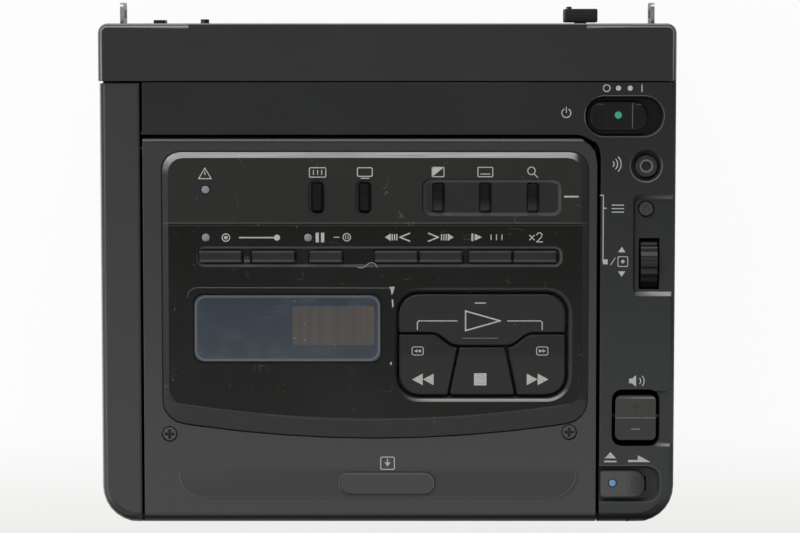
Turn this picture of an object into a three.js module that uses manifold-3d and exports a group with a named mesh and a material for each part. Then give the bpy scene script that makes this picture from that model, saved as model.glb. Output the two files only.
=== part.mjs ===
// Portable cassette video recorder lying on its feet with the controls up.
// Millimetres, x to the right, y to the rear, z up; the origin is under the middle of its box.
import * as THREE from 'three';
import { mergeVertices } from 'three/addons/utils/BufferGeometryUtils.js';
import Module from 'manifold-3d';

const wasm = await Module();
wasm.setup();

// Driving dimensions of the whole case. Heights are measured from the table.
const body = {
  width: 148,
  depth: 128.4,
  height: 57.2,
  plate: 2.6,
  frontCorner: 9.4,
  rearCorner: 2.5,
  edge: 1.5,
  frontRound: 2.4,
  crispEdge: 0.35,
};
const fit = 0.3; // clearance between pieces that seat on each other
const runningGap = 0.25; // clearance round keys, pins and bores
const overrun = 6; // how far a cutting solid runs past what it cuts

const foot = {
  radius: 5.5,
  height: 1.1,
  seat: 0.4,
  edge: 0.25,
  sideInset: 13,
  frontInset: 13,
  rearInset: 24,
};
const cabinet = { depth: 14.7, wall: 2, shoeHalfWidth: 50.8 };
const bay = {
  side: 37.6,
  depth: 4,
  pan: 1.6,
  above: 5,
  below: 11.2,
  hook: 1.8,
  hookThick: 1.2,
  hookLength: 5,
};
const terminal = {
  width: 22,
  height: 6,
  depth: 3.2,
  sink: 0.8,
  above: 2,
  blade: 0.8,
  bladeReach: 0.9,
  bladeStep: 5.5,
};
const release = {
  fromRight: 24.1,
  width: 8.6,
  height: 9,
  reach: 3.8,
  below: 13.4,
  edge: 0.8,
  lip: 1.1,
  stem: 3,
  plate: 1.2,
  travel: 3,
  tip: 1.3,
  tipHeight: 2.2,
};
const dcSocket = { fromRight: 10, above: 15, radius: 4.2, bore: 2.9, pin: 0.75, length: 9, sill: 1.6 };
const lug = {
  fromSide: 5.9,
  thick: 0.9,
  reach: 5.3,
  height: 12,
  below: 5,
  slot: 2.2,
  slotHeight: 8,
  foot: 3,
  corner: 1.6,
};
const rearTab = { fromLeft: 15.4, width: 3, reach: 0.9, height: 8, below: 7 };
const rearStud = { fromLeft: 27, radius: 1.1, reach: 1.1, below: 9 };

const housing = { wall: 2.4, floor: 2.2, seamHeight: 30, innerWall: 1.8, pilot: 1.1 };
const door = {
  inset: 0.35,
  width: 10.15,
  wall: 1.8,
  bottom: 12,
  barrel: 2,
  pin: 0.9,
  pinLength: 1.8,
  rearGap: 0.57,
  capWall: 1.2,
  ledgeGap: 0.3,
  knuckle: 1.7,
  barrelInset: 5,
};
const frame = {
  band: 12.94,
  column: 19.3,
  wall: 1.8,
  innerCorner: 6,
  bandDepth: 10.2,
  slit: 0.5,
  slitDepth: 0.5,
  slitX: 11.6,
};
const lid = {
  leftGroove: 0.7,
  rightGroove: 0.8,
  rearGroove: 1.03,
  rearRightCorner: 6.6,
  rearLeftCorner: 1,
  rearRound: 1.6,
  skirt: 1.6,
  skirtDepth: 7,
  lip: 8.2,
  lipWall: 2,
  ledge: 4,
  boss: 2.1,
};
const hinge = { inset: 3.2, barrel: 3.2, rod: 1, rodReach: 1.6 };
const panel = {
  left: 5.1,
  right: 2.5,
  rear: 3.83,
  front: 22.1,
  bow: 4.6,
  rearCorner: 4.6,
  frontCorner: 6,
  rise: 0.8,
  base: 1,
  side: 1.5,
  rearSlope: 1.5,
  frontSlope: 4.3,
  groove: 0.35,
};
const pad = { side: 9.3, rightSide: 4.6, front: 6.7, length: 12.5, rise: 0.5, corner: 6, edge: 0.2 };
const pill = { width: 24.4, length: 5.7, front: 7.4, rise: 1, edge: 0.35 };
const screw = {
  head: 1.9,
  shank: 1,
  headHeight: 1.1,
  length: 5.5,
  slot: 0.7,
  slotDepth: 0.7,
  counterbore: 2.15,
};
const screwPlaces = { left: 6.6, leftFront: 23, right: 6.95, rightFront: 23.45 };

const lens = { radius: 1.1, flange: 1.8, flangeThick: 0.8, proud: 0.35 };
const display = {
  width: 48,
  length: 17.3,
  corner: 2.3,
  thick: 0.65,
  proud: 0.05,
  screenWidth: 21.2,
  screenLength: 10,
  moduleThick: 1.1,
};
const key = { flange: 0.7, flangeThick: 1, edge: 0.4, proud: 0.4, well: 0.5, split: 0.25 };
const topKey = {
  width: 2.6,
  length: 7.2,
  corner: 0.6,
  dishWidth: 4.8,
  dishLength: 9.6,
  dishCorner: 2.2,
};
const rowKey = { long: 11.2, short: 8.6, width: 3.15, corner: 0.6, trackWidth: 5.65, trackCorner: 2.4 };
const cluster = {
  width: 43.3,
  length: 26.5,
  corner: 5.2,
  rim: 1,
  well: 0.7,
  shoulder: 10.4,
  bulge: 3.3,
  bulgeTop: 13.2,
  bulgeRun: 6.2,
  stopTop: 11.9,
  stopBottom: 17,
  keyGap: 0.35,
  keyCorner: 0.7,
  flange: 0.5,
  flangeRun: 4,
  proud: 0.3,
};

const power = {
  fromRight: 13.32,
  fromRear: 23.64,
  length: 18.9,
  width: 9,
  depth: 1.5,
  rim: 0.65,
  knobLength: 14.8,
  knobWidth: 7.3,
  knobStart: 0.45,
  proud: 1.2,
  travel: 3.6,
  stem: 6,
};
const eject = {
  fromFront: 10,
  endInset: 4.3,
  width: 7.8,
  depth: 1.5,
  rim: 0.8,
  knobLength: 11.6,
  knobWidth: 6.8,
  proud: 0.9,
  travel: 3.3,
  stem: 5,
};
const slider = {
  edge: 0.5,
  stemWidth: 3,
  footSide: 1.5,
  footThick: 1,
  ribWidth: 0.26,
  ribRise: 0.12,
  ribStep: 0.52,
  corner: 2.6,
};
const linkButton = {
  fromRight: 7.65,
  fromRear: 36.36,
  radius: 2.85,
  gap: 0.5,
  rim: 0.85,
  rimDepth: 0.6,
  proud: 0.5,
  dimple: 1.3,
  dimpleDepth: 0.5,
};
const menuButton = {
  fromRight: 7.56,
  fromRear: 47.3,
  radius: 1.85,
  gap: 0.3,
  proud: 0.8,
  dimple: 0.8,
  dimpleDepth: 0.2,
};
const button = { flange: 0.9, flangeThick: 1, edge: 0.35 };
const dialRecess = {
  width: 10.9,
  rear: 43.7,
  front: 69.2,
  depth: 0.9,
  rearSlope: 1.2,
  frontSlope: 0.8,
  sideSlope: 0.5,
  corner: 1.2,
};
const dial = {
  fromRight: 6.7,
  fromRear: 61.45,
  radius: 7.5,
  width: 4.3,
  below: 6.8,
  openWidth: 5.3,
  openLength: 13.2,
  rib: 0.3,
  axle: 0.9,
  cheek: 1.1,
};
const volume = {
  fromRight: 9.97,
  fromFront: 27.2,
  openWidth: 12.35,
  openLength: 14.7,
  openCorner: 2.6,
  width: 10.5,
  length: 11.6,
  corner: 1.5,
  proud: 0.75,
  crease: 0.45,
  below: 4.6,
  pivotBelow: 3.6,
  pin: 0.8,
  cheek: 1.3,
  edge: 0.35,
};
const volumeRecess = { width: 5.35, front: 20.3, rear: 34.2, depth: 0.5, slope: 0.6, corner: 1 };

// The tape deck under the lid. Its slot takes a cassette of 95 by 62.5 by 15 mm with a little play.
const slot = { side: 10.45, front: 6.9, rear: 29.63, height: 15.4 };
const holder = { wall: 1.1, rail: 6, tabLength: 7, stop: 6 };
const chassis = {
  below: 5.1,
  thick: 1.2,
  rear: 31.7,
  side: 5,
  front: 7.4,
  corner: 4,
  post: 2.8,
  postInset: 5,
};
const reel = {
  spread: 23,
  fromMouth: 29,
  table: 9.8,
  tableThick: 1.5,
  hub: 3.3,
  fin: 1.1,
  finWidth: 1.2,
  top: 7.5,
  spindle: 1.2,
};
const drum = {
  radius: 10.85,
  lowerHeight: 8.6,
  upperHeight: 7.6,
  slit: 0.4,
  axle: 2,
  fromHolder: 2.4,
  groove: 0.5,
  hub: 4.5,
};
const capstan = {
  radius: 1.25,
  height: 16,
  offset: 30,
  fromHolder: 3.6,
  flywheel: 9,
  flywheelThick: 3,
  collar: 2.6,
  collarHeight: 1.6,
};
const pinch = { radius: 4.6, width: 9, lift: 3.2, apart: 2.2, arm: 3, armReach: 9, pin: 1 };
const board = {
  above: 5.4,
  thick: 1.6,
  sideInset: 10,
  frontInset: 12,
  rearInset: 22,
  boss: 2,
  bossInset: 9,
  chip: 12,
  chipThick: 1.4,
  capRadius: 3.2,
  capHeight: 6,
};

// Sockets on the left, behind the door.
const jackPanel = {
  face: 3.1,
  thick: 1.4,
  rearInset: 5,
  frontInset: 22.4,
  top: 3.2,
  returnWall: 1.2,
};
const svideo = { radius: 5.2, bore: 3.7, depth: 4.6 };
const phono = { radius: 3.6, bore: 1.75, depth: 4.6 };
const digital = { width: 8.4, height: 6, boreWidth: 5.8, boreHeight: 3.4, depth: 4.4 };
const socket = { proud: 0.5, flangeBack: 1 };

// Places on the lid panel as shares of its width from the left and its depth from the rear.
const topKeyShares = {
  data_key: 0.3648,
  display_key: 0.4757,
  effect_key: 0.6489,
  title_key: 0.7588,
  zoom_key: 0.8708,
};
const topKeyRowShare = 0.1578;
const keyRowShare = 0.3634;
const keyRowShares = [
  { names: ['record_left_key'], share: 0.1361, size: 'long' },
  { names: ['record_right_key'], share: 0.261, size: 'long' },
  { names: ['pause_key'], share: 0.3845, size: 'short' },
  { names: ['reverse_frame_key', 'forward_frame_key'], share: 0.6026, size: 'long' },
  { names: ['slow_key', 'double_speed_key'], share: 0.8242, size: 'long' },
];
const sharedDishShares = { left: 0.6103, right: 0.9391 };
const rowTrackShares = { left: 0.0783, right: 0.9419 };
const lensShares = {
  warning_lens: [0.1021, 0.1309],
  record_lens: [0.1022, 0.2971],
  pause_lens: [0.3427, 0.2978],
};
const displayShare = [0.2937, 0.6146];
const screenShare = [0.4017, 0.6055];
const clusterShare = [0.7531, 0.6727];
const socketShares = {
  svideo_socket: 0.16,
  digital_socket: 0.37,
  av_socket: 0.57,
  phones_socket: 0.74,
  remote_socket: 0.9,
};
const socketHeightShare = 0.62;
const holderTabShares = [0.25, 0.8];
const bowShares = [-0.84, -0.63, -0.42, -0.21, 0, 0.21, 0.42, 0.63, 0.84];
const guideShares = [[1.3, 0.75], [1.75, 0.95]];
const chipShares = [[0.3, 0.6, 1.6], [0.62, 0.3, 1.2], [0.7, 0.72, 1], [0.2, 0.25, 0.8]];
const capShares = [[0.42, 0.2], [0.5, 0.2], [0.88, 0.55]];
const hookShares = [0.25, 0.75];

// Counts and angles, which no length follows.
const bodySteps = 7;
const cornerSteps = 4;
const smallSteps = 2;
const bodyEdgeSteps = 2;
const edgeSteps = 2;
const keyEdgeSteps = 1;
const roundSides = 18;
const buttonSides = 16;
const smallSides = 12;
const pinSides = 8;
const dialRibs = 20;
const drumTilt = THREE.MathUtils.degToRad(5);
const ribsPerEnd = 6;
const bulgeSteps = 16;
const blades = 4;
const reelFins = 3;
const pointsPerRib = 4;

// Levels and lines shared by the pieces.
const right = body.width / 2;
const rear = body.depth / 2;
const front = -rear;
const top = body.height;
const left = -right + door.inset;
const base = foot.height + fit - foot.seat;
const underPlate = top - body.plate;
const seamY = rear - cabinet.depth;
const frameRear = seamY - fit;
const bandFront = frameRear - frame.band;
const columnLeft = right - frame.column;
const doorRight = left + door.width;
const lidLeft = doorRight + lid.leftGroove;
const lidRight = columnLeft - lid.rightGroove;
const lidRear = bandFront - lid.rearGroove;
const hingeY = lidRear - hinge.inset;
const hingeZ = top - hinge.inset;
const lipBottom = top - lid.lip;
const floorTop = base + housing.floor;
const innerWallRight = lidLeft - lid.leftGroove - fit;
const innerWallLeft = innerWallRight - housing.innerWall;
const panelLeft = lidLeft + panel.left;
const panelRight = lidRight - panel.right;
const panelRear = lidRear - panel.rear;
const panelFront = front + panel.front;
const panelTop = top + panel.rise;
const panelBottom = top - panel.base;
const deckX = (lidLeft + lidRight) / 2;
const slotTop = lipBottom - fit;
const holderTop = slotTop + holder.wall;
const slotBottom = slotTop - slot.height;
const slotFront = front + slot.front;
const slotRear = lidRear - slot.rear;
const slotHalf = (lidRight - lidLeft) / 2 - slot.side;
const deckTop = slotBottom - chassis.below;

const doorAxisX = left + door.barrel;
const doorAxisZ = door.bottom + door.barrel;
const doorRear = seamY - door.rearGap;
const barrelFront = front + body.frontCorner + door.barrelInset;
const barrelRear = doorRear - door.barrelInset;
const jackFace = left + jackPanel.face;
const jackRear = frameRear - jackPanel.rearInset;
const jackFront = front + jackPanel.frontInset;
const jackTop = top - door.wall - jackPanel.top;

const bayBottom = base + bay.above;
const bayTop = top - bay.below;
const bayHalf = right - bay.side;
const dcZ = base + dcSocket.above;
const releaseX = right - release.fromRight;
const releaseZ = top - release.below;
const lugTop = top - lug.below;
const lugBottom = lugTop - lug.height;

const powerX = right - power.fromRight;
const powerY = rear - power.fromRear;
const powerKnobLeft = powerX - power.length / 2 + power.knobStart;
const powerKnobX = powerKnobLeft + power.knobLength / 2;
const ejectY = front + eject.fromFront;
const ejectKnobLeft = columnLeft + fit;
const ejectStemX = ejectKnobLeft + eject.knobLength / 2;
const linkX = right - linkButton.fromRight;
const linkY = rear - linkButton.fromRear;
const menuX = right - menuButton.fromRight;
const menuY = rear - menuButton.fromRear;
const dialX = right - dial.fromRight;
const dialY = rear - dial.fromRear;
const dialZ = top - dial.below;
const volumeX = right - volume.fromRight;
const volumeY = front + volume.fromFront;
const volumePivotZ = top - volume.pivotBelow;

const holeExtra = runningGap + runningGap;
const drumY = slotRear + holder.wall + drum.fromHolder + drum.radius;
const capstanX = deckX + capstan.offset;
const capstanY = slotRear + holder.wall + capstan.fromHolder;
const pinchY = capstanY + capstan.radius + pinch.apart + pinch.radius;
const boardBottom = floorTop + board.above;
const boardLeft = innerWallRight + fit + fit;
const boardRight = right - board.sideInset;
const boardFront = front + board.frontInset;
const boardRear = rear - board.rearInset;

const materials = {
  shell: finish(0x353335, 0.62, 0.05),
  lower: finish(0x2e2d2f, 0.68, 0.05),
  door: finish(0x434545, 0.6, 0.1),
  lid: finish(0x3f4243, 0.6, 0.1),
  panel: finish(0x1d1d20, 0.22, 0.05),
  key: finish(0x2b3030, 0.3, 0.05),
  clusterKey: finish(0x2a2b2e, 0.4, 0.1),
  window: finish(0x2a3a4d, 0.12, 0),
  screen: finish(0x5a534f, 0.3, 0),
  lens: finish(0x6a7280, 0.2, 0),
  slider: finish(0x38393a, 0.45, 0.1),
  rubber: finish(0x1a1a1a, 0.9, 0),
  steel: finish(0xa8a6a2, 0.35, 0.9),
  drum: finish(0xc4c5c7, 0.2, 1),
  board: finish(0x1f4a33, 0.6, 0),
  reel: finish(0xd8d6cf, 0.5, 0),
  contact: finish(0xc9a25a, 0.3, 1),
  dark: finish(0x17171a, 0.5, 0),
};

const group = new THREE.Group();

function finish(color, roughness, metalness) {
  return new THREE.MeshStandardMaterial({ color, roughness, metalness });
}

// A closed body becomes a solid once its shared corners are merged.
function solidOf(geometry) {
  const bare = geometry.clone();
  bare.deleteAttribute('normal');
  bare.deleteAttribute('uv');
  const merged = mergeVertices(bare);
  const vertProperties = new Float32Array(merged.getAttribute('position').array);
  const triVerts = new Uint32Array(merged.getIndex().array);
  return new wasm.Manifold(new wasm.Mesh({ numProp: 3, vertProperties, triVerts }));
}

function addPiece(name, solid, material, parent = group) {
  const mesh = solid.getMesh();
  const geometry = new THREE.BufferGeometry();
  geometry.setAttribute(
    'position',
    new THREE.BufferAttribute(new Float32Array(mesh.vertProperties), 3),
  );
  geometry.setIndex(new THREE.BufferAttribute(new Uint32Array(mesh.triVerts), 1));
  geometry.computeVertexNormals();
  const piece = new THREE.Mesh(geometry, material);
  piece.name = name;
  parent.add(piece);
  return piece;
}

function joined(...solids) {
  return solids.reduce((whole, next) => whole.add(next));
}

function cut(solid, ...cutters) {
  return cutters.reduce((rest, cutter) => rest.subtract(cutter), solid);
}

function box(x0, x1, y0, y1, z0, z1) {
  const geometry = new THREE.BoxGeometry(x1 - x0, y1 - y0, z1 - z0);
  geometry.translate((x0 + x1) / 2, (y0 + y1) / 2, (z0 + z1) / 2);
  return solidOf(geometry);
}

// Corners [x, y, radius] in counterclockwise order become an outline with tangent arcs.
function rounded(corners, steps = cornerSteps) {
  const points = [];
  corners.forEach(([x, y, radius], i) => {
    const here = new THREE.Vector2(x, y);
    if (radius <= 0) {
      points.push(here);
      return;
    }
    const [bx, by] = corners[(i + corners.length - 1) % corners.length];
    const [ax, ay] = corners[(i + 1) % corners.length];
    const back = new THREE.Vector2(bx, by).sub(here).normalize();
    const ahead = new THREE.Vector2(ax, ay).sub(here).normalize();
    const half = Math.acos(THREE.MathUtils.clamp(back.dot(ahead), -1, 1)) / 2;
    const middle = back.clone().add(ahead).normalize().multiplyScalar(radius / Math.sin(half));
    const centre = here.clone().add(middle);
    const start = back.multiplyScalar(radius / Math.tan(half)).sub(middle).angle();
    const end = ahead.multiplyScalar(radius / Math.tan(half)).sub(middle).angle();
    const turn = Math.atan2(Math.sin(end - start), Math.cos(end - start));
    for (let k = 0; k <= steps; k += 1) {
      const angle = start + (turn * k) / steps;
      points.push(new THREE.Vector2(
        Math.cos(angle),
        Math.sin(angle),
      ).multiplyScalar(radius).add(centre));
    }
  });
  return points;
}

function rect(x0, y0, x1, y1, radius, steps = cornerSteps) {
  const radii = Array.isArray(radius) ? radius : [radius, radius, radius, radius];
  return rounded(
    [[x0, y0, radii[0]], [x1, y0, radii[1]], [x1, y1, radii[2]], [x0, y1, radii[3]]],
    steps,
  );
}

function rectAt(x, y, width, length, radius, steps = cornerSteps) {
  return rect(x - width / 2, y - length / 2, x + width / 2, y + length / 2, radius, steps);
}

function prism(points, z0, z1) {
  const geometry = new THREE.ExtrudeGeometry(
    new THREE.Shape(points),
    { depth: z1 - z0, bevelEnabled: false },
  );
  geometry.translate(0, 0, z0);
  return solidOf(geometry);
}

// A prism whose upper rim, and lower rim if asked, is rounded over.
function block(points, z0, z1, edge, lowerToo = false, steps = edgeSteps) {
  const start = lowerToo ? z0 + edge : z0;
  const geometry = new THREE.ExtrudeGeometry(new THREE.Shape(points), {
    depth: z1 - edge - start,
    bevelThickness: edge,
    bevelSize: edge,
    bevelOffset: -edge,
    bevelSegments: steps,
  });
  geometry.translate(0, 0, start);
  const solid = solidOf(geometry);
  if (lowerToo) {
    return solid;
  }
  geometry.computeBoundingBox();
  const { min, max } = geometry.boundingBox;
  return solid.intersect(box(
    min.x - overrun,
    max.x + overrun,
    min.y - overrun,
    max.y + overrun,
    z0,
    z1 + overrun,
  ));
}

// Outlines with as many points each, one above another, joined by straight walls.
function loft(sections) {
  const count = sections[0][0].length;
  const positions = sections.flatMap(([points, z]) => points.flatMap((p) => [p.x, p.y, z]));
  const last = (sections.length - 1) * count;
  const index = [];
  THREE.ShapeUtils.triangulateShape(
    sections[0][0].slice(),
    [],
  ).forEach(([a, b, c]) => index.push(a, c, b));
  const upperCap = THREE.ShapeUtils.triangulateShape(sections[sections.length - 1][0].slice(), []);
  upperCap.forEach(([a, b, c]) => index.push(a + last, b + last, c + last));
  for (let level = 0; level < last; level += count) {
    for (let i = 0; i < count; i += 1) {
      const j = (i + 1) % count;
      index.push(
        level + i,
        level + j,
        level + j + count,
        level + i,
        level + j + count,
        level + i + count,
      );
    }
  }
  const geometry = new THREE.BufferGeometry();
  geometry.setAttribute('position', new THREE.Float32BufferAttribute(positions, 3));
  geometry.setIndex(index);
  return solidOf(geometry);
}

// A profile [radius, height] turned about an axis that leads up, inward (+x) or rearward into the case (-y).
function turned(profile, way, [x, y, z], sides = roundSides) {
  const geometry = new THREE.LatheGeometry(profile.map(([r, h]) => new THREE.Vector2(r, h)), sides);
  if (way === 'up') {
    geometry.rotateX(Math.PI / 2);
  }
  if (way === 'inward') {
    geometry.rotateZ(-Math.PI / 2);
  }
  if (way === 'forward') {
    geometry.rotateX(Math.PI);
  }
  geometry.translate(x, y, z);
  return solidOf(geometry);
}

function pinZ(x, y, radius, z0, z1, sides = pinSides) {
  const geometry = new THREE.CylinderGeometry(radius, radius, z1 - z0, sides);
  geometry.rotateX(Math.PI / 2);
  geometry.translate(x, y, (z0 + z1) / 2);
  return solidOf(geometry);
}

function pinX(y, z, radius, x0, x1, sides = pinSides) {
  const geometry = new THREE.CylinderGeometry(radius, radius, x1 - x0, sides);
  geometry.rotateZ(Math.PI / 2);
  geometry.translate((x0 + x1) / 2, y, z);
  return solidOf(geometry);
}

function pinY(x, z, radius, y0, y1, sides = pinSides) {
  const geometry = new THREE.CylinderGeometry(radius, radius, y1 - y0, sides);
  geometry.translate(x, (y0 + y1) / 2, z);
  return solidOf(geometry);
}

// A profile [y, z] run along x from x0 to x1.
function alongX(profile, x0, x1, edge = 0) {
  const shape = new THREE.Shape(profile.map(([y, z]) => new THREE.Vector2(y, z)));
  const geometry = new THREE.ExtrudeGeometry(shape, {
    depth: x1 - x0 - edge - edge,
    bevelEnabled: edge > 0,
    bevelThickness: edge,
    bevelSize: edge,
    bevelOffset: -edge,
    bevelSegments: edgeSteps,
  });
  geometry.rotateX(Math.PI / 2);
  geometry.rotateZ(Math.PI / 2);
  geometry.translate(x0 + edge, 0, 0);
  return solidOf(geometry);
}

// An outline in x and z run along y from y0 to y1.
function alongY(points, y0, y1, edge) {
  const geometry = new THREE.ExtrudeGeometry(new THREE.Shape(points), {
    depth: y1 - y0 - edge - edge,
    bevelThickness: edge,
    bevelSize: edge,
    bevelOffset: -edge,
    bevelSegments: edgeSteps,
  });
  geometry.rotateX(Math.PI / 2);
  geometry.translate(0, y1 - edge, 0);
  return solidOf(geometry);
}

// The outer skin that the lid, door, frame, cabinet and housing are all cut from.
function bodyBlock(leftSide) {
  const corners = [body.frontCorner, body.frontCorner, body.rearCorner, body.rearCorner];
  const plan = rect(leftSide, front, right, rear, corners, bodySteps);
  const skin = block(plan, base, top, body.edge, true, bodyEdgeSteps);
  const nose = rounded([
    [front, base - overrun, 0],
    [rear + overrun, base - overrun, 0],
    [rear + overrun, top, 0],
    [front, top, body.frontRound],
  ]);
  return skin.intersect(alongX(nose.map((p) => [p.x, p.y]), leftSide - overrun, right + overrun));
}

const doorSkin = bodyBlock(left);
const cabinetSkin = bodyBlock(-right);

function lowerHousing() {
  const frontTop = lipBottom - fit;
  const ledge = door.bottom - door.ledgeGap;
  const innerCorner = body.frontCorner - housing.wall;
  const wallPlan = rect(
    left + housing.wall,
    front + housing.wall,
    right - housing.wall,
    frameRear + overrun,
    [innerCorner, innerCorner, 0, 0],
  );
  const shell = doorSkin.intersect(box(left, right, front, frameRear, base, frontTop));
  const cavity = prism(wallPlan, floorTop, frontTop + overrun);
  const besideLid = box(
    lidRight + fit,
    right + overrun,
    front - overrun,
    rear,
    housing.seamHeight,
    frontTop + overrun,
  );
  const doorRoom = box(left - overrun, lidLeft - fit, front - overrun, rear, ledge, frontTop + overrun);
  const behindDoor = front + door.wall + fit;
  const wallEnd = doorRear - door.capWall - fit;
  const innerWall = box(innerWallLeft, innerWallRight, behindDoor, wallEnd, base, underPlate - fit);
  const cornerPost = box(
    innerWallLeft,
    lidLeft + housing.wall,
    behindDoor,
    behindDoor + housing.wall,
    base,
    frontTop,
  );
  const shelf = box(
    left,
    innerWallRight,
    front,
    frameRear,
    ledge - housing.wall,
    ledge,
  ).intersect(doorSkin);
  const posts = chassisPosts().map(([x, y]) => pinZ(
    x,
    y,
    chassis.post,
    base,
    deckTop - chassis.thick - fit,
  ));
  const bosses = boardBosses().map(([x, y]) => pinZ(x, y, board.boss, base, boardBottom - fit));
  const pilots = chassisPosts().map(([x, y]) => pinZ(x, y, housing.pilot, floorTop, deckTop));
  const seats = Object.values(footPlaces()).map(([x, y]) => pinZ(
    x,
    y,
    foot.radius + fit,
    base - overrun,
    base + foot.seat,
    roundSides,
  ));
  const rodHole = pinX(
    hingeY,
    hingeZ,
    hinge.rod + runningGap,
    innerWallLeft - overrun,
    innerWallRight + overrun,
  );
  const whole = joined(
    cut(shell, cavity, besideLid, doorRoom),
    innerWall,
    cornerPost,
    shelf,
    ...posts,
    ...bosses,
  );
  return joined(cut(whole, rodHole, ...pilots, ...seats), ...doorEars(ledge));
}

// Round ears that hold the door's pins, one at each end of its straight edge.
function doorEars(ledge) {
  return doorKnuckles().map(([y0, y1]) => {
    const ring = pinY(doorAxisX, doorAxisZ, door.knuckle, y0, y1, roundSides);
    const neck = box(doorAxisX + fit, doorAxisX + door.knuckle, y0, y1, ledge - fit, doorAxisZ);
    return cut(
      joined(ring, neck),
      pinY(doorAxisX, doorAxisZ, door.pin + runningGap, y0 - overrun, y1 + overrun),
    );
  });
}

function doorKnuckles() {
  return [
    [barrelFront - door.pinLength - fit, barrelFront - fit],
    [barrelRear + fit, barrelRear + door.pinLength + fit],
  ];
}

function jackDoor() {
  const outer = doorSkin.intersect(box(left, doorRight, front, doorRear, door.bottom, top));
  const roundEdge = pinY(doorAxisX, doorAxisZ, door.barrel, front, doorRear, roundSides);
  const above = box(left, doorRight, front, doorRear, doorAxisZ, top);
  const inboard = box(doorAxisX, doorRight, front, doorRear, door.bottom, top);
  const innerCorner = body.frontCorner - door.wall;
  const inner = rect(
    left + door.wall,
    front + door.wall,
    doorRight + overrun,
    doorRear - door.capWall,
    [innerCorner, 0, 0, 0],
  );
  const hollow = prism(inner, door.bottom - overrun, top - door.wall);
  const barrel = pinY(doorAxisX, doorAxisZ, door.barrel, barrelFront, barrelRear, roundSides);
  const room = doorKnuckles().map(([y0, y1]) => pinY(
    doorAxisX,
    doorAxisZ,
    door.knuckle + fit,
    y0 - fit,
    y1 + fit,
    roundSides,
  ));
  const pins = [
    pinY(doorAxisX, doorAxisZ, door.pin, barrelFront - door.pinLength, barrelFront + door.pinLength),
    pinY(doorAxisX, doorAxisZ, door.pin, barrelRear - door.pinLength, barrelRear + door.pinLength),
  ];
  const lipLine = box(left, doorRight, front, doorRear, top - body.crispEdge, top + overrun);
  const shell = cut(outer.intersect(joined(roundEdge, above, inboard)), hollow);
  const crisp = cut(
    lipLine,
    box(left, doorRight - body.crispEdge, front, doorRear - body.crispEdge, base, top + overrun),
  );
  return joined(cut(joined(cut(shell, crisp), barrel), ...room), ...pins);
}

function rearCabinet() {
  const skin = cabinetSkin.intersect(box(-right, right, seamY, rear, base, top));
  const shoe = box(
    -cabinet.shoeHalfWidth,
    cabinet.shoeHalfWidth,
    rear - cabinet.wall,
    rear,
    base + body.edge,
    top,
  );
  const hollow = box(
    -right + cabinet.wall,
    right - cabinet.wall,
    seamY - overrun,
    rear - cabinet.wall,
    floorTop,
    top - cabinet.wall,
  );
  const pan = box(
    -bayHalf - bay.pan,
    bayHalf + bay.pan,
    rear - bay.depth - bay.pan,
    rear,
    bayBottom - bay.pan,
    bayTop + bay.pan,
  );
  const recess = box(-bayHalf, bayHalf, rear - bay.depth, rear + overrun, bayBottom, bayTop);
  const terminalBottom = bayBottom + terminal.above;
  const terminalPocket = box(
    -terminal.width / 2 - fit,
    terminal.width / 2 + fit,
    rear - bay.depth - terminal.sink,
    rear,
    terminalBottom - fit,
    terminalBottom + terminal.height + fit,
  );
  const hooks = [];
  hookShares.forEach((share) => {
    const z = bayBottom + (bayTop - bayBottom) * share;
    [-1, 1].forEach((side) => {
      const root = side * (bayHalf + fit);
      const tip = side * (bayHalf - bay.hook);
      const [x0, x1] = [Math.min(root, tip), Math.max(root, tip)];
      hooks.push(box(
        x0,
        x1,
        rear - bay.hookThick,
        rear,
        z - bay.hookLength / 2,
        z + bay.hookLength / 2,
      ));
    });
  });
  const tabX = -right + rearTab.fromLeft;
  const tabZ = top - rearTab.below;
  const tab = box(
    tabX - rearTab.width / 2,
    tabX + rearTab.width / 2,
    rear - cabinet.wall,
    rear + rearTab.reach,
    tabZ - rearTab.height,
    tabZ,
  );
  const stud = pinY(
    -right + rearStud.fromLeft,
    top - rearStud.below,
    rearStud.radius,
    rear - cabinet.wall,
    rear + rearStud.reach,
  );
  const inset = lug.thick / 2 + fit;
  const slits = lugPlaces().map((x) => box(
    x - inset,
    x + inset,
    rear - cabinet.wall - overrun,
    rear + overrun,
    lugBottom - fit,
    lugTop + fit,
  ));
  const socketHole = pinY(
    right - dcSocket.fromRight,
    dcZ,
    dcSocket.radius + fit,
    rear - cabinet.wall - overrun,
    rear + overrun,
    smallSides,
  );
  const stemRoom = box(
    releaseX - release.stem / 2 - fit,
    releaseX + release.stem / 2 + release.travel + fit,
    rear - cabinet.wall - overrun,
    rear + overrun,
    releaseZ - release.stem / 2 - fit,
    releaseZ + release.stem / 2 + fit,
  );
  const tipRoom = box(
    bayHalf - fit,
    bayHalf + bay.pan + fit,
    rear - cabinet.wall - release.plate - fit - fit,
    rear - cabinet.wall,
    releaseZ - release.tipHeight / 2 - fit,
    releaseZ + release.tipHeight / 2 + fit,
  );
  const whole = joined(cut(joined(cut(joined(skin, shoe), hollow), pan), recess), ...hooks, tab, stud);
  return cut(whole, ...slits, socketHole, stemRoom, tipRoom, terminalPocket);
}

function batteryTerminal() {
  const back = rear - bay.depth - terminal.sink + fit;
  const z0 = bayBottom + terminal.above;
  const blocks = [box(
    -terminal.width / 2,
    terminal.width / 2,
    back,
    back + terminal.depth,
    z0,
    z0 + terminal.height,
  )];
  for (let k = 0; k < blades; k += 1) {
    const x = terminal.bladeStep * (k - (blades - 1) / 2);
    const reachY = back + terminal.depth + terminal.bladeReach;
    const margin = terminal.blade;
    blocks.push(box(
      x - terminal.blade / 2,
      x + terminal.blade / 2,
      back,
      reachY,
      z0 + margin,
      z0 + terminal.height - margin,
    ));
  }
  return joined(...blocks);
}

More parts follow.
